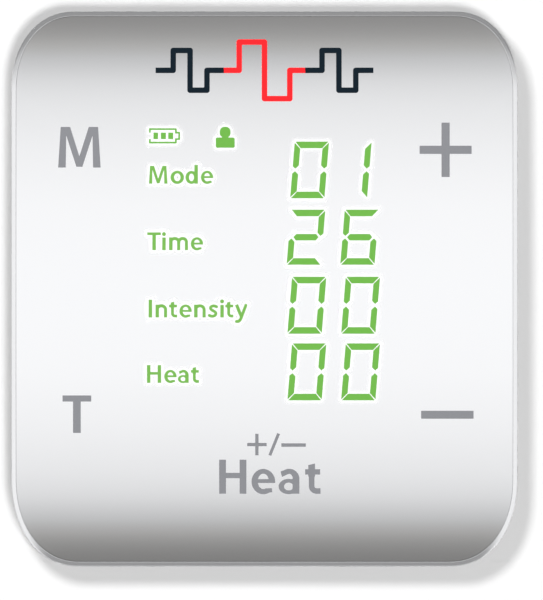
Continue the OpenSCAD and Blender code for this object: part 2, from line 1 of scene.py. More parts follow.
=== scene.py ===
"""A hand-held pulse unit with a silvered touch panel, two lead sockets and a belt clip.

In the frame it stands on its bottom edge, with +X to the right, -Y out of the panel and +Z up.
Shapes are drawn in mm on bench axes: u to the right, v up, and w from the back face to the panel.
"""
import json
import math
from contextlib import contextmanager

import bmesh
import bpy
import numpy as np
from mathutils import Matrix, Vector


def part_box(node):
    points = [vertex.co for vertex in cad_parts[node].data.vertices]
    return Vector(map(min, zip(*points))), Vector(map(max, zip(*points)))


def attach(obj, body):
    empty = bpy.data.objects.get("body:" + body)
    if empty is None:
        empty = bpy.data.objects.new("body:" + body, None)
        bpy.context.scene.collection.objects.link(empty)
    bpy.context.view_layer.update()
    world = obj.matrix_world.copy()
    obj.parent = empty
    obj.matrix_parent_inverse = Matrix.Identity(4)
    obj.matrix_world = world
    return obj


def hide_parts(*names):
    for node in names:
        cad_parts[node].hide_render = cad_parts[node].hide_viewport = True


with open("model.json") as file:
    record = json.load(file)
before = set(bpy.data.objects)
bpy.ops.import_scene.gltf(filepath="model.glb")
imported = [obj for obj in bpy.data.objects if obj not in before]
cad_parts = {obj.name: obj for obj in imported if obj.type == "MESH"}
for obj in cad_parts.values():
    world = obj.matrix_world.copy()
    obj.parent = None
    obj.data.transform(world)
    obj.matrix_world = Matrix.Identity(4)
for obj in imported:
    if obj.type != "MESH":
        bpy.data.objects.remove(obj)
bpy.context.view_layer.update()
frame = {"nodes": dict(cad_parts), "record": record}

MM = 1e-3

# ------------------------------------------------------------------ driving sizes
ring_low, ring_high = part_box("bezel_ring")
HALF_W = ring_high.x / MM
HEIGHT = ring_high.z / MM
MID = HEIGHT / 2
BACK_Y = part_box("main_board")[0].y / MM + 8.8
CROWN = BACK_Y - ring_low.y / MM - 0.1   # w of the panel's highest line
PARTING = 9.0                            # w where the rear shell meets the front frame
TOP_CORNER = (8.2, 10.3)                 # half axes of the outline's corners, across and up
BOTTOM_CORNER = (8.8, 11.5)
CORNER_POWER = 2.14                      # superellipse power of the corners
PRINT_FIT = HALF_W / 33                  # print and framing suit a 66 mm body and scale with it

WELLS = [(s * (HALF_W - 7.5), v) for s in (-1, 1) for v in (10.6, HEIGHT - 10.4)]
HINGE_V, HINGE_W = HEIGHT - 15.6, -2.1
HINGE_BORE = 0.8
SOCKET_U, SOCKET_W = 12, 5.0
PORT_V, PORT_W = MID - 0.3, 6.35
FOLD_V = PORT_V - 5.4                    # where the port cover meets its anchor
SLIDE_V, SLIDE_W = MID + 4.7, 5.85
KNOB_V = SLIDE_V + 1.0
LABEL_V = 31.0


def to_frame(point):
    """Bench axes in mm to the frame in metres."""
    return Vector((point[0] * MM, (BACK_Y - point[2]) * MM, point[1] * MM))


def dome(v):
    """w of the panel's face, which falls away towards its upper and lower ends."""
    return CROWN - 1.15 * min(1.03, abs(v - MID) / (MID - 0.6)) ** 3.2


def superellipse(x):
    return math.copysign(abs(x) ** (2 / CORNER_POWER), x)


def outline(inset, steps=22, side=1):
    """The body's outline, anticlockwise from the front; side is how often a long side is split."""
    points = []
    corners = ((1, 1, TOP_CORNER), (-1, 1, TOP_CORNER),
               (-1, -1, BOTTOM_CORNER), (1, -1, BOTTOM_CORNER))
    for quarter, (sign_u, sign_v, (across, up)) in enumerate(corners):
        mid_u = sign_u * (HALF_W - across)
        mid_v = HEIGHT - up if sign_v > 0 else up
        for i in range(steps + 1):
            turn = math.radians(90 * quarter + 90 * i / steps)
            points.append((mid_u + (across - inset) * superellipse(math.cos(turn)),
                           mid_v + (up - inset) * superellipse(math.sin(turn))))
    if side == 1:
        return points
    split = []
    for start, end in zip(points, points[1:] + points[:1]):
        split.append(start)
        if math.dist(start, end) > 5:
            split += [(start[0] + (end[0] - start[0]) * k / side,
                       start[1] + (end[1] - start[1]) * k / side) for k in range(1, side)]
    return split


# ------------------------------------------------------------------ mesh helpers
@contextmanager
def editing(mesh):
    bm = bmesh.new()
    bm.from_mesh(mesh)
    yield bm
    bm.to_mesh(mesh)
    bm.free()


def add_object(name, mesh):
    piece = bpy.data.objects.new(name, mesh)
    bpy.context.scene.collection.objects.link(piece)
    return piece


def solid(verts, faces):
    mesh = bpy.data.meshes.new("part")
    mesh.from_pydata([tuple(to_frame(v)) for v in verts], [], faces)
    mesh.validate()
    piece = add_object("part", mesh)
    with editing(mesh) as bm:
        bmesh.ops.remove_doubles(bm, verts=bm.verts, dist=2e-8)
        bmesh.ops.dissolve_degenerate(bm, edges=bm.edges, dist=1e-8)
        bmesh.ops.recalc_face_normals(bm, faces=bm.faces)
    return piece


def loft(loops, closed=False, tip=None):
    """Skin over loops of equal length; closed joins last to first, tip ends it in a point."""
    size, count = len(loops[0]), len(loops)
    verts = [point for loop in loops for point in loop]
    faces = []
    for k in range(count if closed else count - 1):
        here, there = k * size, ((k + 1) % count) * size
        for i in range(size):
            j = (i + 1) % size
            faces.append((here + i, here + j, there + j, there + i))
    last = (count - 1) * size
    if not closed:
        faces.append(tuple(reversed(range(size))))
    if tip:
        verts.append(tip)
        faces += [(last + i, last + (i + 1) % size, count * size) for i in range(size)]
    elif not closed:
        faces.append(tuple(range(last, count * size)))
    return solid(verts, faces)


def flat(points, w):
    return [(u, v, w) for u, v in points]


def slab(inset, low, high, steps=22):
    edge = outline(inset, steps)
    return loft([flat(edge, low), flat(edge, high)])


def box(u, v, w, radius=0.0, segments=3):
    corners = [(a, b, c) for a in u for b in v for c in w]
    piece = solid(corners, [(0, 1, 3, 2), (4, 6, 7, 5), (0, 4, 5, 1),
                            (2, 3, 7, 6), (0, 2, 6, 4), (1, 5, 7, 3)])
    if radius:
        with editing(piece.data) as bm:
            bmesh.ops.bevel(bm, geom=bm.edges[:], offset=radius * MM, offset_type="OFFSET",
                            segments=segments, profile=0.5, affect="EDGES", clamp_overlap=True)
            bmesh.ops.recalc_face_normals(bm, faces=bm.faces)
    return piece


# for each axis of a turned piece: two directions across it, then the axis itself
AXES = {"u": (Vector((0, 1, 0)), Vector((0, 0, 1)), Vector((1, 0, 0))),
        "v": (Vector((0, 0, 1)), Vector((1, 0, 0)), Vector((0, 1, 0))),
        "w": (Vector((1, 0, 0)), Vector((0, 1, 0)), Vector((0, 0, 1)))}


def lathe(profile, axis, at, sides=64):
    """Turned solid; profile holds (radius, distance along the axis), and radius 0 is a point."""
    across, over, along = AXES[axis]
    at = Vector(at)
    verts, faces, rings = [], [], []
    for radius, distance in profile:
        centre = at + along * distance
        if radius < 1e-9:
            rings.append([len(verts)])
            verts.append(centre)
            continue
        rings.append(list(range(len(verts), len(verts) + sides)))
        for i in range(sides):
            turn = 2 * math.pi * i / sides
            verts.append(centre + radius * (math.cos(turn) * across + math.sin(turn) * over))
    for here, there in zip(rings, rings[1:]):
        for i in range(sides):
            j = (i + 1) % sides
            if len(here) == 1:
                faces.append((here[0], there[j], there[i]))
            elif len(there) == 1:
                faces.append((here[i], here[j], there[0]))
            else:
                faces.append((here[i], here[j], there[j], there[i]))
    if len(rings[0]) > 1:
        faces.append(tuple(reversed(rings[0])))
    if len(rings[-1]) > 1:
        faces.append(tuple(rings[-1]))
    return solid(verts, faces)


def rod(radius, start, end, axis, at, sides):
    return lathe([(radius, start), (radius, end)], axis, at, sides)


def posts(profile, places, sides):
    """The same turned shape along w at each (u, v) place."""
    return [lathe(profile, "w", (u, v, 0), sides) for u, v in places]


def rounded_rect(half_a, half_b, radius, steps=8):
    radius = min(radius, half_a - 1e-4, half_b - 1e-4)
    points = []
    for quarter, (sign_a, sign_b) in enumerate(((1, 1), (-1, 1), (-1, -1), (1, -1))):
        for i in range(steps + 1):
            turn = math.radians(90 * quarter + 90 * i / steps)
            points.append((sign_a * (half_a - radius) + radius * math.cos(turn),
                           sign_b * (half_b - radius) + radius * math.sin(turn)))
    return points


def pill(u, v, w, radius, first_rim=0.0, last_rim=0.0):
    """A round-cornered plate seen along u, with faces at u[0] and u[1] and rounded rims."""
    mid_v, mid_w = (v[0] + v[1]) / 2, (w[0] + w[1]) / 2
    half_v, half_w = (v[1] - v[0]) / 2, (w[1] - w[0]) / 2
    sign = 1 if u[1] > u[0] else -1
    turns = [math.pi / 2 * i / 5 for i in range(6)]

    def loop(inset, at_u):
        corner = max(radius - inset, 0.05)
        return [(at_u, mid_v + x, mid_w + y)
                for x, y in rounded_rect(half_v - inset, half_w - inset, corner, 10)]
    loops = []
    if first_rim:
        loops += [loop(first_rim * (1 - math.sin(t)), u[0] + sign * first_rim * (1 - math.cos(t)))
                  for t in turns]
    else:
        loops.append(loop(0, u[0]))
    if last_rim:
        loops += [loop(last_rim * (1 - math.cos(t)), u[1] - sign * last_rim * (1 - math.sin(t)))
                  for t in turns]
    else:
        loops.append(loop(0, u[1]))
    return loft(loops)


def hinge_lug(mid_u, half, radius, start, foot, rim, step):
    """Half-round lug about the hinge line, its arc from angle start, with eased rims.

    foot is one side of its base as (v from the hinge, w); the other side mirrors it."""
    first, last = mid_u - half, mid_u + half
    far_foot = [(-v, w) for v, w in reversed(foot)]
    turns = [start + math.pi * i / 24 for i in range(25)]
    loops = []
    for inset, u in ((rim, first), (step, first + step), (0, first + rim),
                     (0, last - rim), (step, last - step), (rim, last)):
        shrink = 1 - inset / radius
        arch = [(radius * math.cos(t), HINGE_W + radius * math.sin(t) * shrink) for t in turns]
        loops.append([(u, HINGE_V + v * shrink, w) for v, w in foot + arch + far_foot])
    return loft(loops)


def combine(piece, tools, operation):
    for tool in tools:
        modifier = piece.modifiers.new("combine", "BOOLEAN")
        modifier.operation = operation
        modifier.solver = "MANIFOLD"
        modifier.object = tool
        graph = bpy.context.evaluated_depsgraph_get()
        mesh = bpy.data.meshes.new_from_object(piece.evaluated_get(graph))
        piece.modifiers.clear()
        old = piece.data
        piece.data = mesh
        bpy.data.meshes.remove(old)
        bpy.data.objects.remove(tool)


def cut(piece, *tools):
    combine(piece, tools, "DIFFERENCE")


def weld(piece, *tools):
    combine(piece, tools, "UNION")


def join(pieces):
    bm = bmesh.new()
    for piece in pieces:
        mesh = piece.data
        bm.from_mesh(mesh)
        bpy.data.objects.remove(piece)
        bpy.data.meshes.remove(mesh)
    mesh = bpy.data.meshes.new("part")
    bm.to_mesh(mesh)
    bm.free()
    return add_object("part", mesh)


def dress(piece, material, body, angle):
    """Material, smooth shading with edges sharper than angle, and the frame's bookkeeping."""
    mesh = piece.data
    mesh.materials.clear()
    mesh.materials.append(material)
    mesh.shade_smooth()
    mesh.set_sharp_from_angle(angle=math.radians(angle))
    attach(piece, body)


def finish(piece, name, slot, replaces=None, body="unit", material=None, angle=32, tidy=True):
    if tidy:
        with editing(piece.data) as bm:
            bmesh.ops.remove_doubles(bm, verts=bm.verts, dist=5e-8)
            bmesh.ops.dissolve_degenerate(bm, edges=bm.edges, dist=2e-8)
            bmesh.ops.dissolve_limit(bm, angle_limit=math.radians(0.02),
                                     verts=bm.verts, edges=bm.edges)
            bmesh.ops.triangulate(bm, faces=[f for f in bm.faces if len(f.verts) > 4])
    piece.name = name
    piece.data.name = name
    dress(piece, material or MATERIALS[slot], body, angle)
    if replaces:
        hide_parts(replaces)


# ------------------------------------------------------------------ materials
def srgb(*levels):
    return [c / 12.92 if c <= 0.04045 else ((c + 0.055) / 1.055) ** 2.4
            for c in (level / 255 for level in levels)]


def shade(colour, factor=1.0):
    return tuple(min(1.0, c * factor) for c in colour[:3]) + (1,)


class Graph:
    """A node tree, built from its inputs up to the output node."""

    def __init__(self, owner, output="OutputMaterial"):
        owner.use_nodes = True
        self.owner = owner
        self.tree = owner.node_tree
        self.tree.nodes.clear()
        self.output = self.node(output)

    def feed(self, socket, value):
        if isinstance(value, bpy.types.NodeSocket):
            self.tree.links.new(value, socket)
        else:
            socket.default_value = value

    def node(self, kind, inputs=(), **settings):
        node = self.tree.nodes.new("ShaderNode" + kind)
        for key, value in settings.items():
            setattr(node, key, value)
        for key, value in dict(inputs).items():
            self.feed(node.inputs[key], value)
        return node

    def math(self, operation, *values):
        return self.node("Math", dict(enumerate(values)), operation=operation).outputs[0]

    def spread(self, signal, low, span):
        return self.math("ADD", low, self.math("MULTIPLY", signal, span))

    def mix(self, factor, first, second):
        return self.node("Mix", {0: factor, 6: first, 7: second}, data_type="RGBA").outputs[2]

    def mix_shader(self, factor, first, second):
        return self.node("MixShader", {0: factor, 1: first, 2: second}).outputs[0]

    def smooth(self, value, low, high):
        return self.node("MapRange", {0: value, 1: low, 2: high},
                         interpolation_type="SMOOTHSTEP").outputs[0]

    def ramp(self, value, stops):
        """Colour ramp from (position, colour) stops."""
        node = self.node("ValToRGB", {0: value})
        elements = node.color_ramp.elements
        elements.remove(elements[-1])
        elements[0].position, elements[0].color = stops[0]
        for position, colour in stops[1:]:
            elements.new(position).color = colour
        return node.outputs[0]

    def noise(self, size_mm, detail, rough=0.55, stretch=(1, 1, 1)):
        place = self.node("TexCoord").outputs["Object"]
        scale = [s / (size_mm * MM) for s in stretch]
        mapped = self.node("Mapping", {"Vector": place, "Scale": scale}).outputs[0]
        return self.node("TexNoise", {"Vector": mapped, "Scale": 1.0, "Detail": detail,
                                      "Roughness": rough}).outputs["Fac"]

    def bump(self, height, strength, depth_mm):
        return self.node("Bump", {"Height": height, "Strength": strength,
                                  "Distance": depth_mm * MM}).outputs[0]

    def principled(self, inputs):
        return self.surface(self.node("BsdfPrincipled", inputs).outputs[0])

    def surface(self, shader):
        self.feed(self.output.inputs["Surface"], shader)
        return self.owner


def new_graph(name):
    return Graph(bpy.data.materials.new(name))


def plastic(name, colour, rough, grain_mm, grain, vary, coat=0.0, sheen=0.0, mottle_mm=9.0,
            glow=0.0):
    graph = new_graph(name)
    mottle = graph.noise(mottle_mm, detail=3)
    base = graph.mix(mottle, shade(colour, 1 - vary), shade(colour, 1 + vary))
    fine = graph.noise(grain_mm, detail=2)
    roughness = graph.spread(graph.noise(2.2, detail=4), low=rough - 0.05, span=0.10)
    inputs = {"Base Color": base, "Roughness": roughness,
              "Normal": graph.bump(fine, grain, depth_mm=0.02),
              "Coat Weight": coat, "Coat Roughness": 0.12, "Sheen Weight": sheen}
    if glow:
        inputs |= {"Emission Color": (0.35, 0.9, 0.15, 1), "Emission Strength": glow}
    return graph.principled(inputs)


def metal(name, colour, rough, scratch_mm=0.12, bump=0.06, brush=(1, 1, 1)):
    graph = new_graph(name)
    scratch = graph.noise(scratch_mm, detail=2, rough=0.6, stretch=brush)
    base = graph.mix(graph.noise(4.0, detail=3), shade(colour, 0.92), shade(colour))
    roughness = graph.spread(scratch, low=rough - 0.06, span=0.14)
    return graph.principled({"Base Color": base, "Roughness": roughness, "Metallic": 1.0,
                             "Normal": graph.bump(scratch, bump, depth_mm=0.01)})


# slot: name, colour, roughness, grain size in mm, grain strength, spread of the colour,
# then where they are needed: coat, sheen, mottle size in mm, green glow
PLASTICS = {
    "white_gloss_shell": ("moulded_white", (0.72, 0.725, 0.735), 0.36, 0.13, 0.10, 0.02, 0.15),
    "clip_plastic": ("moulded_clip_white", (0.70, 0.705, 0.715), 0.33, 0.12, 0.08, 0.02, 0.2),
    "cover_silicone": ("soft_grey_silicone", (0.50, 0.51, 0.53), 0.62, 0.1, 0.05, 0.03, 0, 0.25),
    "switch_grey": ("switch_grey_satin", (0.34, 0.35, 0.37), 0.42, 0.09, 0.14, 0.05),
    "socket_black": ("moulded_black", (0.022, 0.022, 0.024), 0.45, 0.1, 0.15, 0.1),
    "adhesive": ("foam_adhesive", (0.03, 0.03, 0.033), 0.9, 0.12, 0.6, 0.2),
    "display_green": ("diffusing_film", (0.55, 0.78, 0.42), 0.5, 0.06, 0.1, 0.03),
    "white_diffuser": ("reflector_white", (0.86, 0.86, 0.83), 0.55, 0.2, 0.15, 0.02),
    "led_phosphor": ("chip_resin", (0.45, 0.75, 0.22), 0.25, 0.05, 0.1, 0.08, 0, 0, 9.0, 0.4),
    "board_green": ("solder_mask", (0.012, 0.16, 0.06), 0.3, 0.4, 0.25, 0.25, 0.3, 0, 1.2),
    "chip_black": ("chip_moulding", (0.02, 0.02, 0.022), 0.6, 0.06, 0.3, 0.15),
    "component_mix": ("ceramic_parts", (0.34, 0.26, 0.18), 0.5, 0.08, 0.2, 0.3, 0, 0, 1.0),
    "ferrite": ("ferrite_core", (0.05, 0.05, 0.055), 0.7, 0.09, 0.5, 0.2),
    "winding_tape": ("winding_tape", (0.62, 0.40, 0.05), 0.25, 0.5, 0.2, 0.12, 0.4),
    "capacitor_sleeve": ("capacitor_sleeve", (0.02, 0.03, 0.09), 0.25, 0.2, 0.08, 0.1, 0.4),
    "foam_tape": ("battery_foam", (0.03, 0.03, 0.035), 0.95, 0.2, 0.8, 0.2),
    "wire_red": ("wire_red_silicone", (0.55, 0.02, 0.015), 0.5, 0.15, 0.1, 0.08),
    "wire_black": ("wire_black_silicone", (0.02, 0.02, 0.02), 0.5, 0.15, 0.1, 0.08),
    "connector_white": ("connector_nylon", (0.74, 0.70, 0.60), 0.45, 0.15, 0.12, 0.04),
}
# slot: name, colour, roughness, then where needed: scratch size in mm, bump strength, stretch
METALS = {
    "screw_steel": ("nickel_steel", (0.62, 0.62, 0.64), 0.28),
    "spring_steel": ("spring_wire", (0.55, 0.55, 0.57), 0.30, 0.05),
    "contact_gold": ("contact_gold_plate", (0.85, 0.66, 0.30), 0.22),
    "port_steel": ("stamped_port_steel", (0.66, 0.67, 0.69), 0.3, 0.12, 0.06, (1, 6, 6)),
    "battery_foil": ("battery_foil", (0.72, 0.73, 0.75), 0.35, 0.6, 0.25),
}
MATERIALS = {slot: plastic(*row) for slot, row in PLASTICS.items()}
MATERIALS |= {slot: metal(*row) for slot, row in METALS.items()}
LABEL_FILM = plastic("blank_label_film", (0.56, 0.57, 0.585), rough=0.48, grain_mm=0.07,
                     grain=0.12, vary=0.025)

slots = {part["node"]: part["material_slot"] for part in frame["record"]["subparts"]}
for node_name, node_object in frame["nodes"].items():
    node_material = MATERIALS.get(slots.get(node_name))
    if node_material:
        for material_slot in node_object.material_slots:
            material_slot.material = node_material

# distance from the panel's middle as a part of half its height, brightness of the silvering with
# its painted reflection: darker towards both ends, where the panel would mirror the dimmer studio
PAINTED_REFLECTION_TONES = [(0.3, 0.965), (0.5, 0.935), (0.66, 0.895), (0.75, 0.86), (0.83, 0.80),
                (0.88, 0.73), (0.92, 0.65), (0.96, 0.59), (1.0, 0.56)]


def silver_panel(name, lit=False):
    """Silvering with a painted reflection that greys towards both ends; lit also takes the soft
    light stored as glow.
    """
    graph = new_graph(name)
    place = graph.node("TexCoord").outputs["Object"]
    height = graph.node("SeparateXYZ", {"Vector": place}).outputs[2]
    offset = graph.math("DIVIDE", graph.math("SUBTRACT", height, MID * MM), MID * MM)
    # the ramp is a painted reflection: bright and slightly cool in the middle, greyer and warmer
    # towards both ends
    stops = [(0.0, (0.968, 0.976, 0.992, 1))]
    for position, tone in PAINTED_REFLECTION_TONES:
        green, blue = (1.006, 1.022) if position < 0.85 else (0.992, 0.980)
        stops.append((position, (tone, tone * green, tone * blue, 1)))
    tone = graph.ramp(graph.math("ABSOLUTE", offset), stops)
    mottle = graph.math("MULTIPLY", graph.noise(14.0, detail=2), 0.03)
    base = graph.mix(mottle, tone, (0.72, 0.73, 0.75, 1))
    roughness = graph.spread(graph.noise(0.35, detail=3), low=0.105, span=0.03)
    inputs = {"Base Color": base, "Roughness": roughness, "Metallic": 1.0,
              "Coat Weight": 0.15, "Coat Roughness": 0.03}
    if lit:
        stored = graph.node("Attribute", attribute_name="glow").outputs["Fac"]
        glow = graph.math("MULTIPLY", stored, 0.96)
        inputs |= {"Base Color": graph.mix(glow, base, (0.52, 0.52, 0.52, 1)),
                   "Metallic": graph.math("SUBTRACT", 1.0, glow),
                   "Roughness": graph.spread(glow, low=roughness, span=0.4),
                   "Emission Color": (1, 1, 1, 1),
                   "Emission Strength": graph.math("MULTIPLY", glow, 0.36)}
    return graph.principled(inputs)


def clear_trim():
    graph = new_graph("polished_clear_trim")
    fine = graph.noise(0.5, detail=3)
    base = graph.mix(fine, (0.86, 0.865, 0.88, 1), (0.91, 0.915, 0.93, 1))
    return graph.principled({"Base Color": base, "Metallic": 0.85, "Coat Weight": 0.2,
                             "Coat Roughness": 0.04,
                             "Roughness": graph.spread(fine, low=0.12, span=0.06)})


def print_ink(name, colour, glow=0.0):
    graph = new_graph(name)
    base = graph.mix(graph.noise(0.5, detail=2), shade(colour, 0.97), shade(colour, 1.03))
    inputs = {"Base Color": base, "Roughness": 0.45, "Specular IOR Level": 0.15}
    if glow:
        inputs |= {"Emission Color": base, "Emission Strength": glow}
    return graph.principled(inputs)


PANEL = silver_panel("silvered_touch_panel")
PANEL_LIT = silver_panel("silvered_panel_lit_from_behind", lit=True)
TRIM = clear_trim()
INK_GREY = print_ink("legend_grey_ink", srgb(122, 123, 127))
INK_RED = print_ink("mark_red_ink", srgb(232, 32, 38))
INK_DARK = print_ink("mark_dark_ink", srgb(8, 24, 34))
LIT_SHADE = 0.57          # darkens the lit greens, whose emission makes up the rest
LIT_DIGITS = print_ink("lit_digit_green", shade(srgb(113, 181, 76), LIT_SHADE), glow=0.45)
LIT_LABELS = print_ink("lit_label_green", shade(srgb(121, 182, 84), LIT_SHADE), glow=0.45)


# ------------------------------------------------------------------ casing
def rear_shell():
    radius = 4.0                          # of the rounded back edge
    turns = [math.pi / 2 * i / 18 for i in range(19)]
    sections = [(radius * (1 - math.sin(t)), radius * (1 - math.cos(t))) for t in turns]
    sections += [(0, 8.64), (0.03, 8.72), (0.10, 8.77), (0.24, 8.78), (0.24, PARTING)]
    shell = loft([flat(outline(inset), w) for inset, w in sections])
    # stepped hollow, screw bosses and short ribs
    cut(shell, slab(3.2, 1.6, 2.6, 10), slab(2.3, 2.4, 4.2, 10),
        slab(1.6, 4.0, 10), slab(0.85, 8.0, 10))
    weld(shell, *posts([(3.1, 1.2), (3.1, 5.15), (2.95, 5.3)], WELLS, 40))
    for s in (-1, 1):
        for v in (13, 44):
            weld(shell, box((s * 17.9 - 0.5, s * 17.9 + 0.5), (v, v + 3), (1.3, 3.9)))
    # ears for the clip's pin
    for s in (-1, 1):
        weld(shell, hinge_lug(s * 10.1, half=1.1, radius=1.78, start=math.pi,
                              foot=[(-1.78, 0.5), (-1.78, -0.1)], rim=0.16, step=0.05))
    cut(shell, rod(HINGE_BORE, -12, 12, "u", (0, HINGE_V, HINGE_W), 40))
    # screw wells with a small lead-in
    cut(shell, *posts([(2.45, -0.5), (2.45, 0.0), (2.15, 0.22), (2.15, 2.2)], WELLS, 56))
    cut(shell, *posts([(1.15, 2.0), (1.15, 6.0)], WELLS, 32))
    # lead sockets in the top edge
    mouth = [(2.65, HEIGHT - 4), (2.65, HEIGHT - 0.45), (3.0, HEIGHT + 0.02), (3.0, HEIGHT + 1)]
    cut(shell, *[lathe(mouth, "v", (s * SOCKET_U, 0, SOCKET_W), 72) for s in (-1, 1)])
    # charging port in the left edge, with the seat of its cover
    cut(shell, pill((-HALF_W - 1, -HALF_W + 0.95), (FOLD_V - 3.0, PORT_V + 5.6),
                    (PORT_W - 1.95, PORT_W + 1.5), 1.1))
    cut(shell, pill((-HALF_W - 0.001, -HALF_W - 0.5), (FOLD_V - 3.12, PORT_V + 5.72),
                    (PORT_W - 2.07, PORT_W + 1.62), 1.2))
    cut(shell, box((-HALF_W - 1, -HALF_W + 2.2), (PORT_V - 3.95, PORT_V + 3.95),
                   (PORT_W - 1.4, PORT_W + 1.4)))
    cut(shell, rod(0.65, -HALF_W - 1, -HALF_W + 2.4, "u", (0, FOLD_V - 1.5, PORT_W - 0.2), 32))
    # round notch above the cover
    turns = [math.pi * i / 20 for i in range(1, 20)]
    ball = [(0, -1.7), *((1.7 * math.sin(t), -1.7 * math.cos(t)) for t in turns), (0, 1.7)]
    cut(shell, lathe(ball, "u", (-HALF_W - 0.9, PORT_V + 6.0, PORT_W - 0.2), 48))
    # power slide slot in the right edge, in a shallow dish
    cut(shell, pill((HALF_W - 2.2, HALF_W + 1), (SLIDE_V - 3.6, SLIDE_V + 3.6),
                    (SLIDE_W - 1.6, SLIDE_W + 1.6), 1.1))
    dish = ((HALF_W - 0.34, 0.0), (HALF_W - 0.22, 0.16), (HALF_W + 0.02, 0.62), (HALF_W + 1, 0.62))
    cut(shell, loft([[(u, SLIDE_V + x, SLIDE_W + y) for x, y in
                      rounded_rect(3.6 + grow, 1.6 + grow, 1.1 + grow, 10)] for u, grow in dish]))
    # shallow recess for the label
    cut(shell, loft([[(x, LABEL_V + y, w) for x, y in
                      rounded_rect(17.5 + grow, 16.4 + grow, 1.6 + grow)]
                     for w, grow in ((-1, 0.12), (0.0, 0.12), (0.12, 0.0))]))
    finish(shell, "rear_shell_skin", "white_gloss_shell", "rear_shell", angle=30)


def front_frame():
    sections = ((0.22, 9.0), (0.09, 9.02), (0.03, 9.07), (0, 9.16),
                (0, 13.76), (0.03, 13.84), (0.10, 13.89), (0.2, 13.9))
    piece = loft([flat(outline(inset), w) for inset, w in sections])
    cut(piece, slab(1.7, 8, 11.5, 12), slab(0.62, 12.8, 15))
    # tongue that enters the rear shell, and the bosses
    outer, inner = outline(0.92, 12), outline(1.58, 12)
    weld(piece, loft([flat(outer, 8.05), flat(outer, 9.3), flat(inner, 9.3), flat(inner, 8.05)],
                     closed=True))
    weld(piece, *posts([(2.6, 5.4), (2.6, 12.4)], WELLS, 40))
    board_posts = [(s * 22.5, MID + 6.7) for s in (-1, 1)]
    weld(piece, *posts([(1.9, 8.8), (1.9, 12.4)], board_posts, 32))
    # openings for the display and the five keys
    row_v = HEIGHT - 17.13
    cut(piece, box((-17.6, 17.6), (row_v - 36.2, row_v + 4.5), (10.5, 13.8)))
    keys = [(-24.2, row_v - 1), (23.6, row_v - 1), (-24.4, 20.1), (23.8, 20.1), (0.5, 13.6)]
    cut(piece, *posts([(3.6, 10.5), (3.6, 13.8)], keys, 40))
    cut(piece, *posts([(1.0, 5), (1.0, 10.9)], WELLS, 24))
    cut(piece, *posts([(0.8, 8), (0.8, 11.5)], board_posts, 24))
    finish(piece, "front_frame_skin", "white_gloss_shell", "front_frame", angle=30)


# inset from the body's outline, height above the ring's crown line, which lies over the dome
TRIM_CROWN = [(0.0, -0.24), (0.009, -0.185), (0.035, -0.14), (0.075, -0.108), (0.12, -0.09),
              (0.2, -0.073), (0.42, -0.034), (0.55, -0.014), (0.597, -0.008), (0.611, -0.014),
              (0.615, -0.032)]


def trim_ring():
    def level(inset, w):
        return flat(outline(inset, 26, 14), w)
    loops = [level(0.06, 13.905), level(0.0, 13.96)]
    loops += [[(u, v, dome(v) + 0.1 + rise) for u, v in outline(inset, 26, 14)]
              for inset, rise in TRIM_CROWN]
    loops.append(level(0.615, 13.905))
    finish(loft(loops, closed=True), "trim_ring", "clear_trim", "bezel_ring", material=TRIM,
           angle=40, tidy=False)


def touch_panel():
    edge, radius = 0.630, 0.045           # inset of the panel's side, rounding of its rim

    def ring(inset):
        return outline(inset, 26, 18)
    loops = [flat(ring(edge + 0.1), 13.0), flat(ring(edge), 13.1)]
    for i in range(5):
        turn = math.pi / 2 * i / 4
        loops.append([(u, v, dome(v) - radius + radius * math.sin(turn))
                      for u, v in ring(edge + radius * (1 - math.cos(turn)))])
    for further in (0.012, 0.04, 0.12, 0.3):
        last = ring(edge + radius + further)
        loops.append([(u, v, dome(v)) for u, v in last])
    steps = 46
    for k in range(1, steps):
        scale = 1 - k / steps
        shrunk = [(u * scale, MID + (v - MID) * scale) for u, v in last]
        loops.append([(u, v, dome(v)) for u, v in shrunk])
    finish(loft(loops, tip=(0, MID, dome(MID))), "touch_panel", "silver_panel", "front_lens",
           material=PANEL, angle=40, tidy=False)


rear_shell()
front_frame()
trim_ring()
touch_panel()


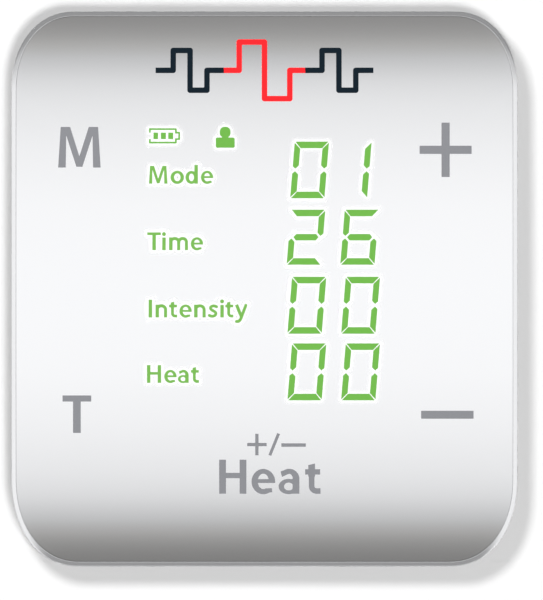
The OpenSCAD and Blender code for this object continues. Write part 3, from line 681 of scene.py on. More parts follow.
# ------------------------------------------------------------------ flat shapes as outlines
class Field:
    """Signed distance in mm on a fine (u, v) grid; shapes join by their least distance."""

    def __init__(self, u, v, step=0.045, scale=1.0):
        self.origin, self.step, self.scale = (u[0], v[0]), step, scale
        self.distance = np.full([int((high - low) / step) + 1 for low, high in (u, v)], 2.0)

    def window(self, low, high, pad=1.2):
        """Grid indices and coordinates around a box."""
        spans = []
        for start, least, most, count in zip(self.origin, low, high, self.distance.shape):
            first = max(0, int((least - pad - start) / self.step))
            last = min(count, int((most + pad - start) / self.step) + 2)
            spans.append(np.arange(first, last))
        lines = [start + self.step * span for start, span in zip(self.origin, spans)]
        return np.ix_(*spans), *np.meshgrid(*lines, indexing="ij")

    def put(self, where, distance):
        self.distance[where] = np.minimum(self.distance[where], distance)

    def bar(self, start, end, half):
        start, end = self.scale * np.array((start, end), float)
        half = half * self.scale
        length = np.hypot(*(end - start))
        if length < 1e-9:
            return
        where, grid_u, grid_v = self.window(np.minimum(start, end) - half,
                                            np.maximum(start, end) + half)
        along = (end - start) / length
        x, y = grid_u - (start[0] + end[0]) / 2, grid_v - (start[1] + end[1]) / 2
        past_end = np.abs(x * along[0] + y * along[1]) - length / 2
        past_side = np.abs(-x * along[1] + y * along[0]) - half
        self.put(where, np.hypot(np.maximum(past_end, 0), np.maximum(past_side, 0))
                 + np.minimum(np.maximum(past_end, past_side), 0))

    def dot(self, centre, radius):
        u, v = self.scale * np.array(centre, float)
        radius = radius * self.scale
        where, grid_u, grid_v = self.window((u - radius, v - radius), (u + radius, v + radius))
        self.put(where, np.hypot(grid_u - u, grid_v - v) - radius)

    def line(self, points, half):
        for start, end in zip(points, points[1:]):
            self.bar(start, end, half)
        for point in points[1:-1]:
            self.dot(point, half)

    def poly(self, outer, inner=None):
        """Filled polygon, less an inner one if given."""
        outer = self.scale * np.array(outer, float)
        where, grid_u, grid_v = self.window(outer.min(0), outer.max(0))
        distance = polygon_distance(outer, grid_u, grid_v)
        if inner:
            hole = polygon_distance(self.scale * np.array(inner, float), grid_u, grid_v)
            distance = np.maximum(distance, -hole)
        self.put(where, distance)

    def loops(self):
        """The outlines at distance zero, traced from cell to cell."""
        level = np.where(np.abs(self.distance) < 1e-9, 1e-9, self.distance)
        inside = level < 0
        corner, right = inside[:-1, :-1], inside[1:, :-1]
        above, across = inside[:-1, 1:], inside[1:, 1:]
        active = np.argwhere((corner != right) | (corner != above)
                             | (across != right) | (across != above))
        links, places = {}, {}

        def crossing(i, j, k):
            """Where the grid edge from (i, j) along u (k = 0) or v (k = 1) meets zero."""
            if (i, j, k) not in places:
                here, there = level[i, j], level[i + 1 - k, j + k]
                part = here / (here - there)
                places[i, j, k] = (self.origin[0] + self.step * (i + (0 if k else part)),
                                   self.origin[1] + self.step * (j + (part if k else 0)))
            return i, j, k
        for i, j in active.tolist():
            ends = (inside[i, j], inside[i + 1, j], inside[i + 1, j + 1], inside[i, j + 1])
            edges = ((i, j, 0), (i + 1, j, 1), (i, j + 1, 0), (i, j, 1))
            hits = [crossing(*edge) for edge, start, end in zip(edges, ends, ends[1:] + ends[:1])
                    if start != end]
            if len(hits) == 2:
                pairs = [(0, 1)]
            else:
                pairs = [(0, 1), (2, 3)] if ends[0] else [(0, 3), (1, 2)]
            for first, second in pairs:
                links.setdefault(hits[first], []).append(hits[second])
                links.setdefault(hits[second], []).append(hits[first])
        found, seen = [], set()
        for start in links:
            loop, previous, current = [], None, start
            while current not in seen:
                seen.add(current)
                loop.append(places[current])
                onward = [key for key in links[current] if key != previous and key not in seen]
                previous = current
                if not onward:
                    break
                current = onward[0]
            if len(loop) > 5:
                found.append(simplify(loop, 0.005))
        return found


def polygon_distance(points, grid_u, grid_v):
    distance = np.full(grid_u.shape, 9.0)
    inside = np.zeros(grid_u.shape, bool)
    for start, end in zip(points, np.roll(points, -1, 0)):
        edge = end - start
        part = np.clip(((grid_u - start[0]) * edge[0] + (grid_v - start[1]) * edge[1])
                       / (edge @ edge), 0, 1)
        distance = np.minimum(distance, np.hypot(grid_u - start[0] - part * edge[0],
                                                 grid_v - start[1] - part * edge[1]))
        if start[1] != end[1]:
            meets = (end[0] - start[0]) * (grid_v - start[1]) / (end[1] - start[1]) + start[0]
            inside ^= ((start[1] > grid_v) != (end[1] > grid_v)) & (grid_u < meets)
    return np.where(inside, -distance, distance)


def simplify(loop, tolerance):
    """Drops points that lie within the tolerance of the line between those kept."""
    points = np.array(loop)
    far = int(np.argmax(np.hypot(*(points - points[0]).T)))

    def kept(run):
        if len(run) < 3:
            return [0]
        start = run[0]
        edge = run[-1] - start
        length = np.hypot(*edge)
        if length > 1e-9:
            away = np.abs((run[:, 0] - start[0]) * edge[1]
                          - (run[:, 1] - start[1]) * edge[0]) / length
        else:
            away = np.hypot(*(run - start).T)
        k = int(np.argmax(away))
        if away[k] < tolerance or k in (0, len(run) - 1):
            return [0]
        return kept(run[:k + 1]) + [k + i for i in kept(run[k:])]
    out = [points[i] for i in kept(points[:far + 1])]
    back = [points[far + i] for i in kept(np.vstack([points[far:], points[:1]]))]
    return [tuple(point) for point in out + back]


INK_DEPTH = 0.03
INK_BAND = 0.8            # the print is split this often up the panel, to follow the dome


def ink(name, field, material, lift, place=None):
    """The field's shapes as a thin solid, on the dome or where place(x, y, rise) puts it."""
    curve = bpy.data.curves.new(name, "CURVE")
    curve.dimensions, curve.fill_mode = "2D", "BOTH"
    for loop in field.loops():
        line = curve.splines.new("POLY")
        line.points.add(len(loop) - 1)
        for point, (x, y) in zip(line.points, loop):
            point.co = (x, y, 0, 1)
        line.use_cyclic_u = True
    drawing = add_object(name, curve)
    bpy.context.view_layer.update()
    graph = bpy.context.evaluated_depsgraph_get()
    mesh = bpy.data.meshes.new_from_object(drawing.evaluated_get(graph))
    bpy.data.objects.remove(drawing)
    with editing(mesh) as bm:
        bmesh.ops.remove_doubles(bm, verts=bm.verts, dist=1e-5)
        if place is None:
            low = min(v.co.y for v in bm.verts)
            high = max(v.co.y for v in bm.verts)
            y = math.ceil(low / INK_BAND) * INK_BAND
            while y < high:
                bmesh.ops.bisect_plane(bm, geom=bm.verts[:] + bm.edges[:] + bm.faces[:],
                                       dist=1e-6, plane_co=(0, y, 0), plane_no=(0, 1, 0))
                y += INK_BAND
        moved = bmesh.ops.extrude_face_region(bm, geom=bm.faces[:])["geom"]
        back = {v for v in moved if isinstance(v, bmesh.types.BMVert)}
        where = place or (lambda u, v, rise: (u, v, dome(v) + rise))
        for vert in bm.verts:
            rise = lift - INK_DEPTH if vert in back else lift
            vert.co = to_frame(where(vert.co.x, vert.co.y, rise))
        bmesh.ops.recalc_face_normals(bm, faces=bm.faces)
    dress(add_object(name, mesh), material, "unit", 30)


def arc(mid_x, mid_y, half_x, half_y, first, last, steps):
    turns = [math.radians(first + (last - first) * i / steps) for i in range(steps + 1)]
    return [(mid_x + half_x * math.cos(t), mid_y + half_y * math.sin(t)) for t in turns]


def spline(points, steps):
    """Catmull-Rom curve through the points."""
    padded = [points[0], *points, points[-1]]
    curve = []
    for group in zip(padded, padded[1:], padded[2:], padded[3:]):
        for i in range(steps):
            t = i / steps
            curve.append(tuple(0.5 * (2 * b + (c - a) * t + (2 * a - 5 * b + 4 * c - d) * t * t
                                      + (3 * b - a - 3 * c + d) * t ** 3)
                               for a, b, c, d in zip(*group)))
    return curve + [points[-1]]


LOWER = 0.72              # height of the small letters, in capitals


def letter(field, char, left, base, height, stem, thin):
    """A plain sans letter, drawn in units of the capital height.

    stem and thin are half the widths of its upright and level strokes."""
    def em(points):
        return [(left + x * height, base + y * height) for x, y in points]

    def bar(start, end, half):
        field.bar(*em((start, end)), half * height)

    def line(points, half):
        field.line(em(points), half * height)

    def fill(points):
        field.poly(em(points))

    def oval(mid_x, mid_y, half_x, half_y, stem_part=1.0, thin_part=1.0):
        field.poly(em(arc(mid_x, mid_y, half_x, half_y, 0, 360, 48)[:-1]),
                   em(arc(mid_x, mid_y, half_x - 2 * stem * stem_part,
                          half_y - 2 * thin * thin_part, 0, 360, 40)[:-1]))

    def upright(x, top):
        bar((x, 0), (x, top), stem)

    def shoulder(start, mid_x, mid_y, half_x, first, foot_x):
        line([start] + arc(mid_x, mid_y, half_x, LOWER + 0.012 - thin - mid_y, first, 0, 14)
             + [(foot_x, 0.0)], mean)
    mean = (stem + thin) / 2
    if char == "M":
        width, leg, top = 1.046, 2 * stem * 0.93, 0.062 + 2 * stem * 1.15
        fill([(0, 0), (leg, 0), (leg + 0.012, 0.79), (width / 2 - stem * 0.74, 0.018),
              (width / 2 + stem * 0.74, 0.018), (width - leg - 0.012, 0.79), (width - leg, 0),
              (width, 0), (width - 0.062, 1), (width - top, 1), (width / 2, 0.275),
              (top, 1), (0.062, 1)])
    elif char == "H":
        upright(stem, 1)
        upright(0.80 - stem, 1)
        bar((stem, 0.535), (0.8 - stem, 0.535), thin)
    elif char == "T":
        bar((0, 1 - thin), (0.765, 1 - thin), thin)
        upright(0.3825, 1 - thin)
    elif char == "I":
        upright(stem, 1)
    elif char == "i":
        upright(stem, LOWER - 0.01)
        field.dot(em([(stem, 0.905)])[0], 0.112 * height)
    elif char == "o":
        oval(0.378, 0.357, 0.378, 0.372)
    elif char == "e":
        mid_x, mid_y, half_x, half_y = 0.347, 0.357, 0.347, 0.372
        fill(arc(mid_x, mid_y, half_x, half_y, 0, 300, 36) + [(0.61, 0.045), (0.598, 0.165)]
             + arc(mid_x, mid_y + 0.006, half_x - 2 * stem * 0.92, half_y - 2 * thin * 0.92,
                   296, 0, 34))
        right, top = mid_x + half_x, 0.315 + 1.45 * thin
        fill([(0.08, 0.315), (right - 0.002, 0.315), (right, 0.36), (right - 0.012, top),
              (0.08, top)])
    elif char == "n":
        upright(stem, LOWER)
        shoulder((stem * 1.1, 0.40), 0.33, 0.44, 0.235, 160, 0.565)
    elif char == "m":
        upright(stem, LOWER)
        shoulder((stem * 1.1, 0.42), 0.32, 0.46, 0.22, 160, 0.54)
        shoulder((0.55, 0.40), 0.765, 0.46, 0.215, 165, 0.98)
    elif char == "d":
        upright(0.70 - stem, 1.06)
        oval(0.338, 0.352, 0.338, 0.365)
    elif char == "t":
        bar((0.0, LOWER - thin), (0.44, LOWER - thin), thin)
        fill([(0.09, 0.5), (0.09 + 2 * stem, 0.5), (0.09 + 2 * stem, 0.89), (0.09, 0.84)])
        line([(0.09 + stem, 0.66), (0.09 + stem, 0.24)]
             + arc(0.09 + stem + 0.15, 0.228, 0.15, 0.15, 180, 270, 10) + [(0.45, 0.080)],
             mean * 0.92)
    elif char == "y":
        bar((0.085, LOWER), (0.375, 0.02), stem * 0.95)
        line(spline([(0.625, LOWER), (0.50, 0.38), (0.375, 0.04), (0.29, -0.14),
                     (0.19, -0.225), (0.075, -0.225)], 6), mean * 0.97)
    elif char == "s":
        line(spline([(0.465, 0.60), (0.37, 0.64), (0.26, 0.65), (0.145, 0.60), (0.115, 0.52),
                     (0.165, 0.435), (0.265, 0.375), (0.375, 0.305), (0.415, 0.215),
                     (0.365, 0.115), (0.245, 0.068), (0.125, 0.08), (0.03, 0.12)], 5),
             mean * 0.93)
    elif char == "a":
        upright(0.61 - stem, 0.45)
        top = LOWER + 0.012
        fill(arc(0.31, 0.44, 0.30, top - 0.44, 0, 122, 16)
             + [(0.055, 0.655), (0.098, 0.655 - 2.05 * thin)]
             + arc(0.31, 0.43, 0.30 - 2 * stem * 0.96, top - 0.43 - 2 * thin * 0.94, 118, 0, 14))
        oval(0.295, 0.212, 0.295, 0.226, 0.80, 0.70)
        fill([(0.30, 0.36), (0.52, 0.372), (0.52, 0.372 + 1.5 * thin), (0.36, 0.415)])


# ------------------------------------------------------------------ print on the panel
# start, end and half width of the strokes of the keys' plus, minus and small "+/-"
KEY_STROKES = [
    ((20.2043, 54.3261), (26.9870, 54.3261), 0.5348),
    ((23.5957, 57.8739), (23.5957, 50.7783), 0.5348),
    ((20.4, 19.8130), (27.2348, 19.8130), 0.5217),
    ((-2.2565, 15.9261), (0.2870, 15.9261), 0.2152),
    ((-0.9913, 17.3348), (-0.9913, 14.5174), 0.2152),
    ((0.6913, 14.5174), (1.8391, 17.3609), 0.1957),
    ((2.1913, 15.8609), (5.3870, 15.8609), 0.2283),
]


def key_legends():
    field = Field((-28.5, 28.8), (8.6, 58.6), scale=PRINT_FIT)
    letter(field, "M", -26.8826, 52.0174, height=5.2957, stem=0.101, thin=0.09)
    letter(field, "T", -26.3087, 17.4391, height=4.8913, stem=0.103, thin=0.082)
    for start, end, half in KEY_STROKES:
        field.bar(start, end, half)
    height = 4.4478
    for char, x in zip("Heat", (0, 0.948, 1.742, 2.52)):
        letter(field, char, -5.9087 + x * height, 9.5087, height, stem=0.100, thin=0.079)
    ink("key_legends", field, INK_GREY, lift=0.012)


# word, v of its baseline, u of each letter's left edge
CAPTIONS = [
    ("Mode", 49.9174, (-15.0522, -12.2348, -10.2913, -8.2826)),
    ("Time", 41.2565, (-15.2609, -13.3174, -12.4304, -9.6)),
    ("Intensity", 32.4913, (-15.0913, -14.1913, -12.4174, -11.0739, -9.1696, -7.2913,
                            -5.7522, -5.1, -3.8478)),
    ("Heat", 23.9739, (-15.3130, -13.0565, -11.2826, -9.5739)),
]


def lit_captions():
    field = Field((-16.6, 0.2), (22.6, 57.6), step=0.035, scale=PRINT_FIT)
    for word, base, lefts in CAPTIONS:
        for char, left in zip(word, lefts):
            letter(field, char, left, base, height=2.3087, stem=0.098, thin=0.075)
    ink("lit_captions", field, LIT_LABELS, lift=0.016)
    return field


DIGIT_WIDTH = 4.4739
DIGIT_SLANT = 0.0815      # shift to the left for each mm down
SEGMENT_WIDTH, SEGMENT_GAP = 0.79, 0.085
LIT_SEGMENTS = {"0": "abcdef", "1": "bc", "2": "abged", "6": "afgcde"}
# digit, u of its left edge, v of its top, height
DIGITS = [
    ("0", 3.9391, 55.3957, 7.3826), ("1", 9.4957, 55.3957, 7.3826),
    ("2", 3.4565, 46.5261, 7.1739), ("6", 10.4478, 46.5261, 7.1739),
    ("0", 3.5870, 37.7870, 7.4217), ("0", 10.5783, 37.7870, 7.4217),
    ("0", 3.5870, 29.1130, 7.4217), ("0", 10.5783, 29.1130, 7.4217),
]


def segment(key, height):
    """Corners of a digit's segment, to the right of and down from the digit's upper left."""
    width, thick, gap, middle = DIGIT_WIDTH, SEGMENT_WIDTH, SEGMENT_GAP, height / 2
    level = 0.86                          # thickness of the top and bottom segments
    if key == "a":
        return [(gap, 0), (width - gap, 0), (width - thick - gap * 0.6, level),
                (thick + gap * 0.6, level)]
    if key == "d":
        return [(thick + gap * 0.6, height - level), (width - thick - gap * 0.6, height - level),
                (width - gap, height), (gap, height)]
    if key == "f":
        return [(0, gap * 1.4), (thick, level + gap * 0.9), (thick, middle - thick * 0.75),
                (thick * 0.45, middle - gap * 1.9), (0, middle - thick * 0.62)]
    if key == "e":
        return [(thick * 0.45, middle + gap * 1.9), (thick, middle + thick * 0.75),
                (thick, height - level - gap * 0.9), (0, height - gap * 1.4),
                (0, middle + thick * 0.62)]
    if key in "bc":
        return [(width - x, y) for x, y in segment({"b": "f", "c": "e"}[key], height)]
    end, turn = thick * 0.62 + gap * 1.3, thick * 1.2
    return [(end, middle), (turn, middle - 0.42), (width - turn, middle - 0.42),
            (width - end, middle), (width - turn, middle + 0.42), (turn, middle + 0.42)]


BATTERY_LINE = [(-14.9348, 56.5565), (-14.9348, 57.0261), (-11.5435, 57.0261),
                (-11.5435, 56.5565), (-11.1130, 56.5565), (-11.1130, 55.7217),
                (-11.5435, 55.7217), (-11.5435, 55.2652), (-14.9348, 55.2652),
                (-14.9348, 55.7217)]
BATTERY_BLOCKS = [(-14.4652, -13.8652), (-13.5, -12.8478), (-12.5348, -11.8957)]


def lit_digits():
    field = Field((-16.6, 16.6), (20.6, 58.4), scale=PRINT_FIT)
    for digit, left, top, height in DIGITS:
        for key in LIT_SEGMENTS[digit]:
            field.poly([(left + x - DIGIT_SLANT * y, top - y) for x, y in segment(key, height)])
    field.line(BATTERY_LINE, 0.1122)
    for left, right in BATTERY_BLOCKS:
        field.poly([(left, 56.5696), (right, 56.5696), (right, 55.7217), (left, 55.7217)])
    # user sign: head, neck and shoulders
    mid_u, chest_v = -5.1261, 55.2652
    field.poly([(mid_u + x, 56.6217 + y) for x, y in rounded_rect(0.7043, 0.7043, 0.6, 10)])
    field.bar((mid_u, 56.1522), (mid_u, 55.7609), 0.3913)
    for v in (55.7087, 54.8217):
        for u in (-6.1174, -4.1087):
            field.dot((u, v), 0.2283)
    field.bar((-6.1174, chest_v), (-4.1087, chest_v), 0.6717)
    field.bar((-6.3457, chest_v), (-3.8804, chest_v), 0.4435)
    ink("lit_digits", field, LIT_DIGITS, lift=0.016)
    return field


PULSE_LEFT = [(-14.2, 64.7), (-11.9, 64.7), (-11.9, 67.3), (-9.7, 67.3), (-9.7, 62.1),
              (-7.5, 62.1), (-7.5, 64.7), (-5.3, 64.7)]
PULSE_RIGHT = [(5.3, 64.7), (7.5, 64.7), (7.5, 67.3), (9.7, 67.3), (9.7, 62.1), (11.9, 62.1),
               (11.9, 64.7), (14.2, 64.7)]
PULSE_MIDDLE = [(-5.3, 64.7), (-3.3, 64.7), (-3.3, 68.4), (0.0, 68.4), (0.0, 61.0), (3.3, 61.0),
                (3.3, 64.7), (5.3, 64.7)]


def pulse_mark(name, lines, material, lift):
    """Part of the square pulse train above the display."""
    field = Field((-16, 16.5), (59.4, 70.2))
    for points in lines:
        field.line(points, 0.36)
    ink(name, field, material, lift)


def sample(field, line_u, line_v):
    """The field's nearest distances on another grid, and 9 mm beyond its edges."""
    picks, beyond = [], []
    for line, start, count in zip((line_u, line_v), field.origin, field.distance.shape):
        nearest = np.rint((line - start) / field.step).astype(int)
        picks.append(np.clip(nearest, 0, count - 1))
        beyond.append((line < start) | (line > start + field.step * (count - 1)))
    return np.where(beyond[0][:, None] | beyond[1][None, :], 9.0, field.distance[np.ix_(*picks)])


def display_glow(*fields):
    """Film over the panel that carries the soft white light round the lit shapes."""
    step = 0.115
    line_u, line_v = (low + step * np.arange(int((high - low) / step) + 1)
                      for low, high in ((-16.5, 16.4), (21.0, 58.3)))
    distance = np.minimum(*(sample(field, line_u, line_v) for field in fields))
    light = np.clip(1 - (distance - 0.06) / 0.64, 0, 1) ** 1.8
    cell = np.maximum.reduce([light[:-1, :-1], light[1:, :-1],
                              light[:-1, 1:], light[1:, 1:]]) > 0.0
    used = np.zeros(light.shape, bool)
    for i in (0, 1):
        for j in (0, 1):
            used[i:len(line_u) - 1 + i, j:len(line_v) - 1 + j] |= cell
    count = int(used.sum())
    index = -np.ones(light.shape, int)
    index[used] = np.arange(count)
    verts = [(line_u[i], line_v[j], dome(line_v[j]) + lift)
             for lift in (0.006, -0.02) for i, j in np.argwhere(used)]
    faces = []
    padded = np.pad(cell, 1)
    for i, j in np.argwhere(cell).tolist():
        front = [int(index[at]) for at in ((i, j), (i + 1, j), (i + 1, j + 1), (i, j + 1))]
        faces.append(tuple(front))
        faces.append(tuple(k + count for k in reversed(front)))
        neighbours = ((i + 1, j), (i + 2, j + 1), (i + 1, j + 2), (i, j + 1))
        for beside, start, end in zip(neighbours, front, front[1:] + front[:1]):
            if not padded[beside]:
                faces.append((end, start, start + count, end + count))
    mesh = bpy.data.meshes.new("display_glow")
    mesh.from_pydata([tuple(to_frame(v)) for v in verts], [], faces)
    glow = mesh.attributes.new("glow", "FLOAT", "POINT")
    glow.data.foreach_set("value", np.tile(light[used], 2).astype(np.float32))
    dress(add_object("display_glow", mesh), PANEL_LIT, "unit", 30)


key_legends()
caption_field = lit_captions()
digit_field = lit_digits()
pulse_mark("pulse_mark_outer", (PULSE_LEFT, PULSE_RIGHT), INK_DARK, lift=0.012)
pulse_mark("pulse_mark_middle", (PULSE_MIDDLE,), INK_RED, lift=0.014)
display_glow(digit_field, caption_field)


# ------------------------------------------------------------------ top edge: lead sockets
def lead_socket(name, u):
    w = SOCKET_W

    def turned(from_top):
        return lathe([(radius, HEIGHT + v) for radius, v in from_top], "v", (u, 0, w), 64)
    body = box((u - 3, u + 3), (HEIGHT - 14.1, HEIGHT - 3.4), (w - 2.5, w + 2.5), 0.25)
    weld(body, turned([(2.5, -4.0), (2.5, -0.62), (2.44, -0.48), (2.32, -0.38), (2.18, -0.35),
                       (2.0, -0.35)]))
    cut(body, turned([(1.8, -12.6), (1.8, -0.62), (1.86, -0.5), (2.02, -0.34), (2.05, 0.5)]))
    cut(body, box((u - 0.6, u + 0.6), (HEIGHT - 12, HEIGHT - 5), (w + 1.85, w + 3)))
    for s in (-1, 1):
        cut(body, box((u + s * 2.4 - 0.55, u + s * 2.4 + 0.55), (HEIGHT - 10.5, HEIGHT - 6.5),
                      (w - 0.6, w + 0.6)))
    finish(body, name + "_body", "socket_black", name)
    # thin plated sleeve in the mouth
    sleeve = [(1.79, -2.6), (1.79, -0.66), (1.72, -0.60), (1.66, -0.64), (1.64, -0.75),
              (1.64, -2.6)]
    turns = [2 * math.pi * i / 64 for i in range(64)]
    loops = [[(u + radius * math.sin(t), HEIGHT + v, w + radius * math.cos(t)) for t in turns]
             for radius, v in sleeve]
    finish(loft(loops, closed=True), name + "_sleeve", "port_steel",
           material=MATERIALS["screw_steel"])


lead_socket("lead_socket_left", -SOCKET_U)
lead_socket("lead_socket_right", SOCKET_U)


# ------------------------------------------------------------------ left edge: charging port
def cover_plate(low, high):
    return pill((-HALF_W + 0.85, -HALF_W), (low, high), (PORT_W - 1.75, PORT_W + 1.3), 0.95,
                0.06, 0.22)


def across_edge(low, high):
    """Block through the left edge between two heights."""
    return box((-HALF_W - 1, -HALF_W + 3), (low, high), (3, 9.5))


def port_cover():
    cover = cover_plate(FOLD_V - 1.6, PORT_V + 5.35)
    weld(cover, pill((-HALF_W + 0.6, -HALF_W + 1.8), (PORT_V - 3.25, PORT_V + 3.25),
                     (PORT_W - 0.85, PORT_W + 0.85), 0.3, 0, 0.15))
    cut(cover, across_edge(FOLD_V - 3, FOLD_V + 0.12))
    cut(cover, box((-HALF_W + 1.15, -HALF_W + 3), (PORT_V - 2.2, PORT_V + 2.2),
                   (PORT_W - 0.2, PORT_W + 2), 0.08, 2))
    cut(cover, box((-HALF_W + 0.4, -HALF_W + 3), (FOLD_V - 1, FOLD_V + 0.7), (3, 9)))
    # three fine grooves near the free end
    groove = [(0.0, PORT_W - 1.3 - 0.13), (0.13, PORT_W - 1.3), (0.13, PORT_W + 0.85),
              (0.0, PORT_W + 0.85 + 0.13)]
    for from_end in (0.9, 1.6, 2.3):
        cut(cover, lathe(groove, "w", (-HALF_W - 0.015, PORT_V + 5.35 - from_end, 0), 16))
    # a small charge bolt, sunk
    bolt = [(-0.05, 0.95), (-0.62, -0.12), (-0.08, -0.12), (-0.28, -0.98), (0.55, 0.22),
            (0.04, 0.22), (0.30, 0.95)]
    cut(cover, loft([[(u, PORT_V + y, PORT_W - 0.22 - x) for x, y in bolt]
                     for u in (-HALF_W - 0.5, -HALF_W + 0.1)]))
    finish(cover, "port_cover_skin", "cover_silicone", "port_cover", body="cover")


def port_anchor():
    anchor = cover_plate(FOLD_V - 2.8, FOLD_V + 2)
    cut(anchor, across_edge(FOLD_V - 0.08, FOLD_V + 4))
    cut(anchor, box((-HALF_W + 0.4, -HALF_W + 3), (FOLD_V - 0.7, FOLD_V + 1), (3, 9)))
    barb = [(0.6, -HALF_W + 0.6), (0.6, -HALF_W + 1.7), (0.95, -HALF_W + 1.72),
            (0.5, -HALF_W + 2.5)]
    weld(anchor, lathe(barb, "u", (0, FOLD_V - 1.5, PORT_W - 0.2), 32))
    finish(anchor, "port_cover_anchor_skin", "cover_silicone", "port_cover_anchor")


def charge_port():
    shell = pill((-HALF_W + 1.0, -HALF_W + 6.2), (PORT_V - 3.75, PORT_V + 3.75),
                 (PORT_W - 1.25, PORT_W + 1.25), 0.5, 0.08, 0.08)
    cut(shell, pill((-HALF_W + 0.5, -HALF_W + 5.9), (PORT_V - 3.5, PORT_V + 3.5),
                    (PORT_W - 1.0, PORT_W + 1.0), 0.3))
    finish(shell, "charge_port_skin", "port_steel", "charge_port_shell")
    tongue = box((-HALF_W + 2.1, -HALF_W + 5.85), (PORT_V - 2.0, PORT_V + 2.0),
                 (PORT_W - 0.1, PORT_W + 0.5), 0.06, 2)
    weld(tongue, box((-HALF_W + 4.9, -HALF_W + 5.85), (PORT_V - 3.3, PORT_V + 3.3),
                     (PORT_W - 0.9, PORT_W + 0.9)))
    finish(tongue, "charge_port_tongue_skin", "socket_black", "charge_port_tongue")
    pitch = 0.65
    pins = [box((-HALF_W + 2.3, -HALF_W + 4.9),
                (PORT_V + i * pitch - 0.2, PORT_V + i * pitch + 0.2),
                (PORT_W - 0.17, PORT_W - 0.09), 0.02, 2) for i in range(-2, 3)]
    finish(join(pins), "charge_port_pins", "contact_gold", tidy=False)


port_cover()
port_anchor()
charge_port()


# ------------------------------------------------------------------ right edge: power slide
def power_knob():
    knob = pill((HALF_W - 1.55, HALF_W - 0.05), (KNOB_V - 2.0, KNOB_V + 2.0),
                (SLIDE_W - 1.35, SLIDE_W + 1.35), 0.8, 0.05, 0.28)
    groove = [(0.0, SLIDE_W - 2.0), (0.17, SLIDE_W - 1.9), (0.17, SLIDE_W + 1.9),
              (0.0, SLIDE_W + 2.0)]
    for offset in (-1.2, -0.6, 0.0, 0.6, 1.2):
        cut(knob, lathe(groove, "w", (HALF_W - 0.03, KNOB_V + offset, 0), 20))
    weld(knob, box((HALF_W - 3.1, HALF_W - 1.5), (KNOB_V - 0.75, KNOB_V + 0.75),
                   (SLIDE_W - 0.6, SLIDE_W + 0.6)))
    finish(knob, "power_knob", "switch_grey", "power_switch_knob", body="power_slide")


def slide_marks():
    """A bar above the slide and a ring below it."""
    field = Field((-4, 4), (-8, 8), step=0.03)
    field.bar((0, 5.15), (0, 6.45), 0.11)
    field.line(arc(0, -5.8, 0.55, 0.66, 0, 360, 36) + [(0.55, -5.8)], 0.11)
    ink("slide_marks", field, INK_GREY, lift=0.0,
        place=lambda x, y, rise: (HALF_W + 0.008 + rise, SLIDE_V + y, SLIDE_W - x))


def socket_numbers():
    """1 and 2 on the top edge; each half of the drawing is moved across the middle."""
    field = Field((-12, 12), (-2, 2), step=0.03)
    field.bar((7.15, -0.8), (7.15, 0.8), 0.13)
    field.line([(7.15, 0.72), (6.75, 0.42)], 0.12)
    field.line(spline([(-7.45, 0.38), (-7.3, 0.68), (-7.0, 0.72), (-6.72, 0.5), (-6.78, 0.15),
                       (-7.2, -0.35), (-7.47, -0.68)], 5), 0.12)
    field.bar((-7.52, -0.7), (-6.62, -0.7), 0.12)
    ink("socket_numbers", field, INK_GREY, lift=0.0,
        place=lambda x, y, rise: (x - math.copysign(14.1, x), HEIGHT + 0.008 + rise, 5.6 - y))


power_knob()
slide_marks()
socket_numbers()


# ------------------------------------------------------------------ back: screws, label, clip
# radius, w from the dished head to the neck
SCREW_HEAD = [(0.0, 0.85), (0.5, 0.855), (1.0, 0.89), (1.4, 0.97), (1.7, 1.1), (1.88, 1.28),
              (1.95, 1.5), (1.95, 2.08), (1.9, 2.14), (0.8, 2.15)]
# half length, half width, w of the cross recess
SCREW_CROSS = [(1.22, 0.27, 0.6), (1.16, 0.25, 0.9), (0.55, 0.16, 1.75)]


def case_screws():
    profile = list(SCREW_HEAD)
    for i in range(11):
        profile += [(0.97, 2.6 + i * 0.65), (0.78, 2.9 + i * 0.65)]
    profile += [(0.7, 10.0), (0.0, 10.5)]
    screws = []
    for u, v in WELLS:
        screw = lathe(profile, "w", (u, v, 0), 48)
        for angle in (0, 90):
            turn = math.radians(angle + 28 + math.copysign(17, u))
            cosine, sine = math.cos(turn), math.sin(turn)
            loops = []
            for long, wide, w in SCREW_CROSS:
                corners = ((-long, -wide), (long, -wide), (long, wide), (-long, wide))
                loops.append([(u + x * cosine - y * sine, v + x * sine + y * cosine, w)
                              for x, y in corners])
            cut(screw, loft(loops))
        screws.append(screw)
    finish(join(screws), "case_screws_skin", "screw_steel", "case_screws", angle=30)


def blank_label():
    label = loft([[(x, LABEL_V + y, w) for x, y in rounded_rect(17.1 + grow, 16.0 + grow, 1.4)]
                  for w, grow in ((0.14, 0.0), (0.045, 0.0), (0.02, -0.03))])
    finish(label, "blank_label", "white_diffuser", material=LABEL_FILM, angle=30)


# v from the top of the body, then w of the clip's two faces
CLIP_LINE = [
    (-7, -4.1, -5.8), (-15, -4.1, -5.8), (-22, -4.08, -5.8), (-29, -3.92, -5.66),
    (-35, -3.55, -5.32), (-41, -2.9, -4.72), (-46, -2.08, -3.98), (-50, -1.28, -3.28),
    (-53, -0.62, -2.72), (-54.5, -0.3, -2.45), (-55.6, -0.16, -2.3), (-56.7, -0.3, -2.35),
    (-58, -0.95, -2.75), (-59.4, -1.9, -3.35), (-60.2, -2.6, -3.6)]
CLIP_HALF_THICK = 0.84
CLIP_EDGE = 0.42          # rounding of the clip's edges
CLIP_CROWN = 0.10         # rise of its outer face along the middle


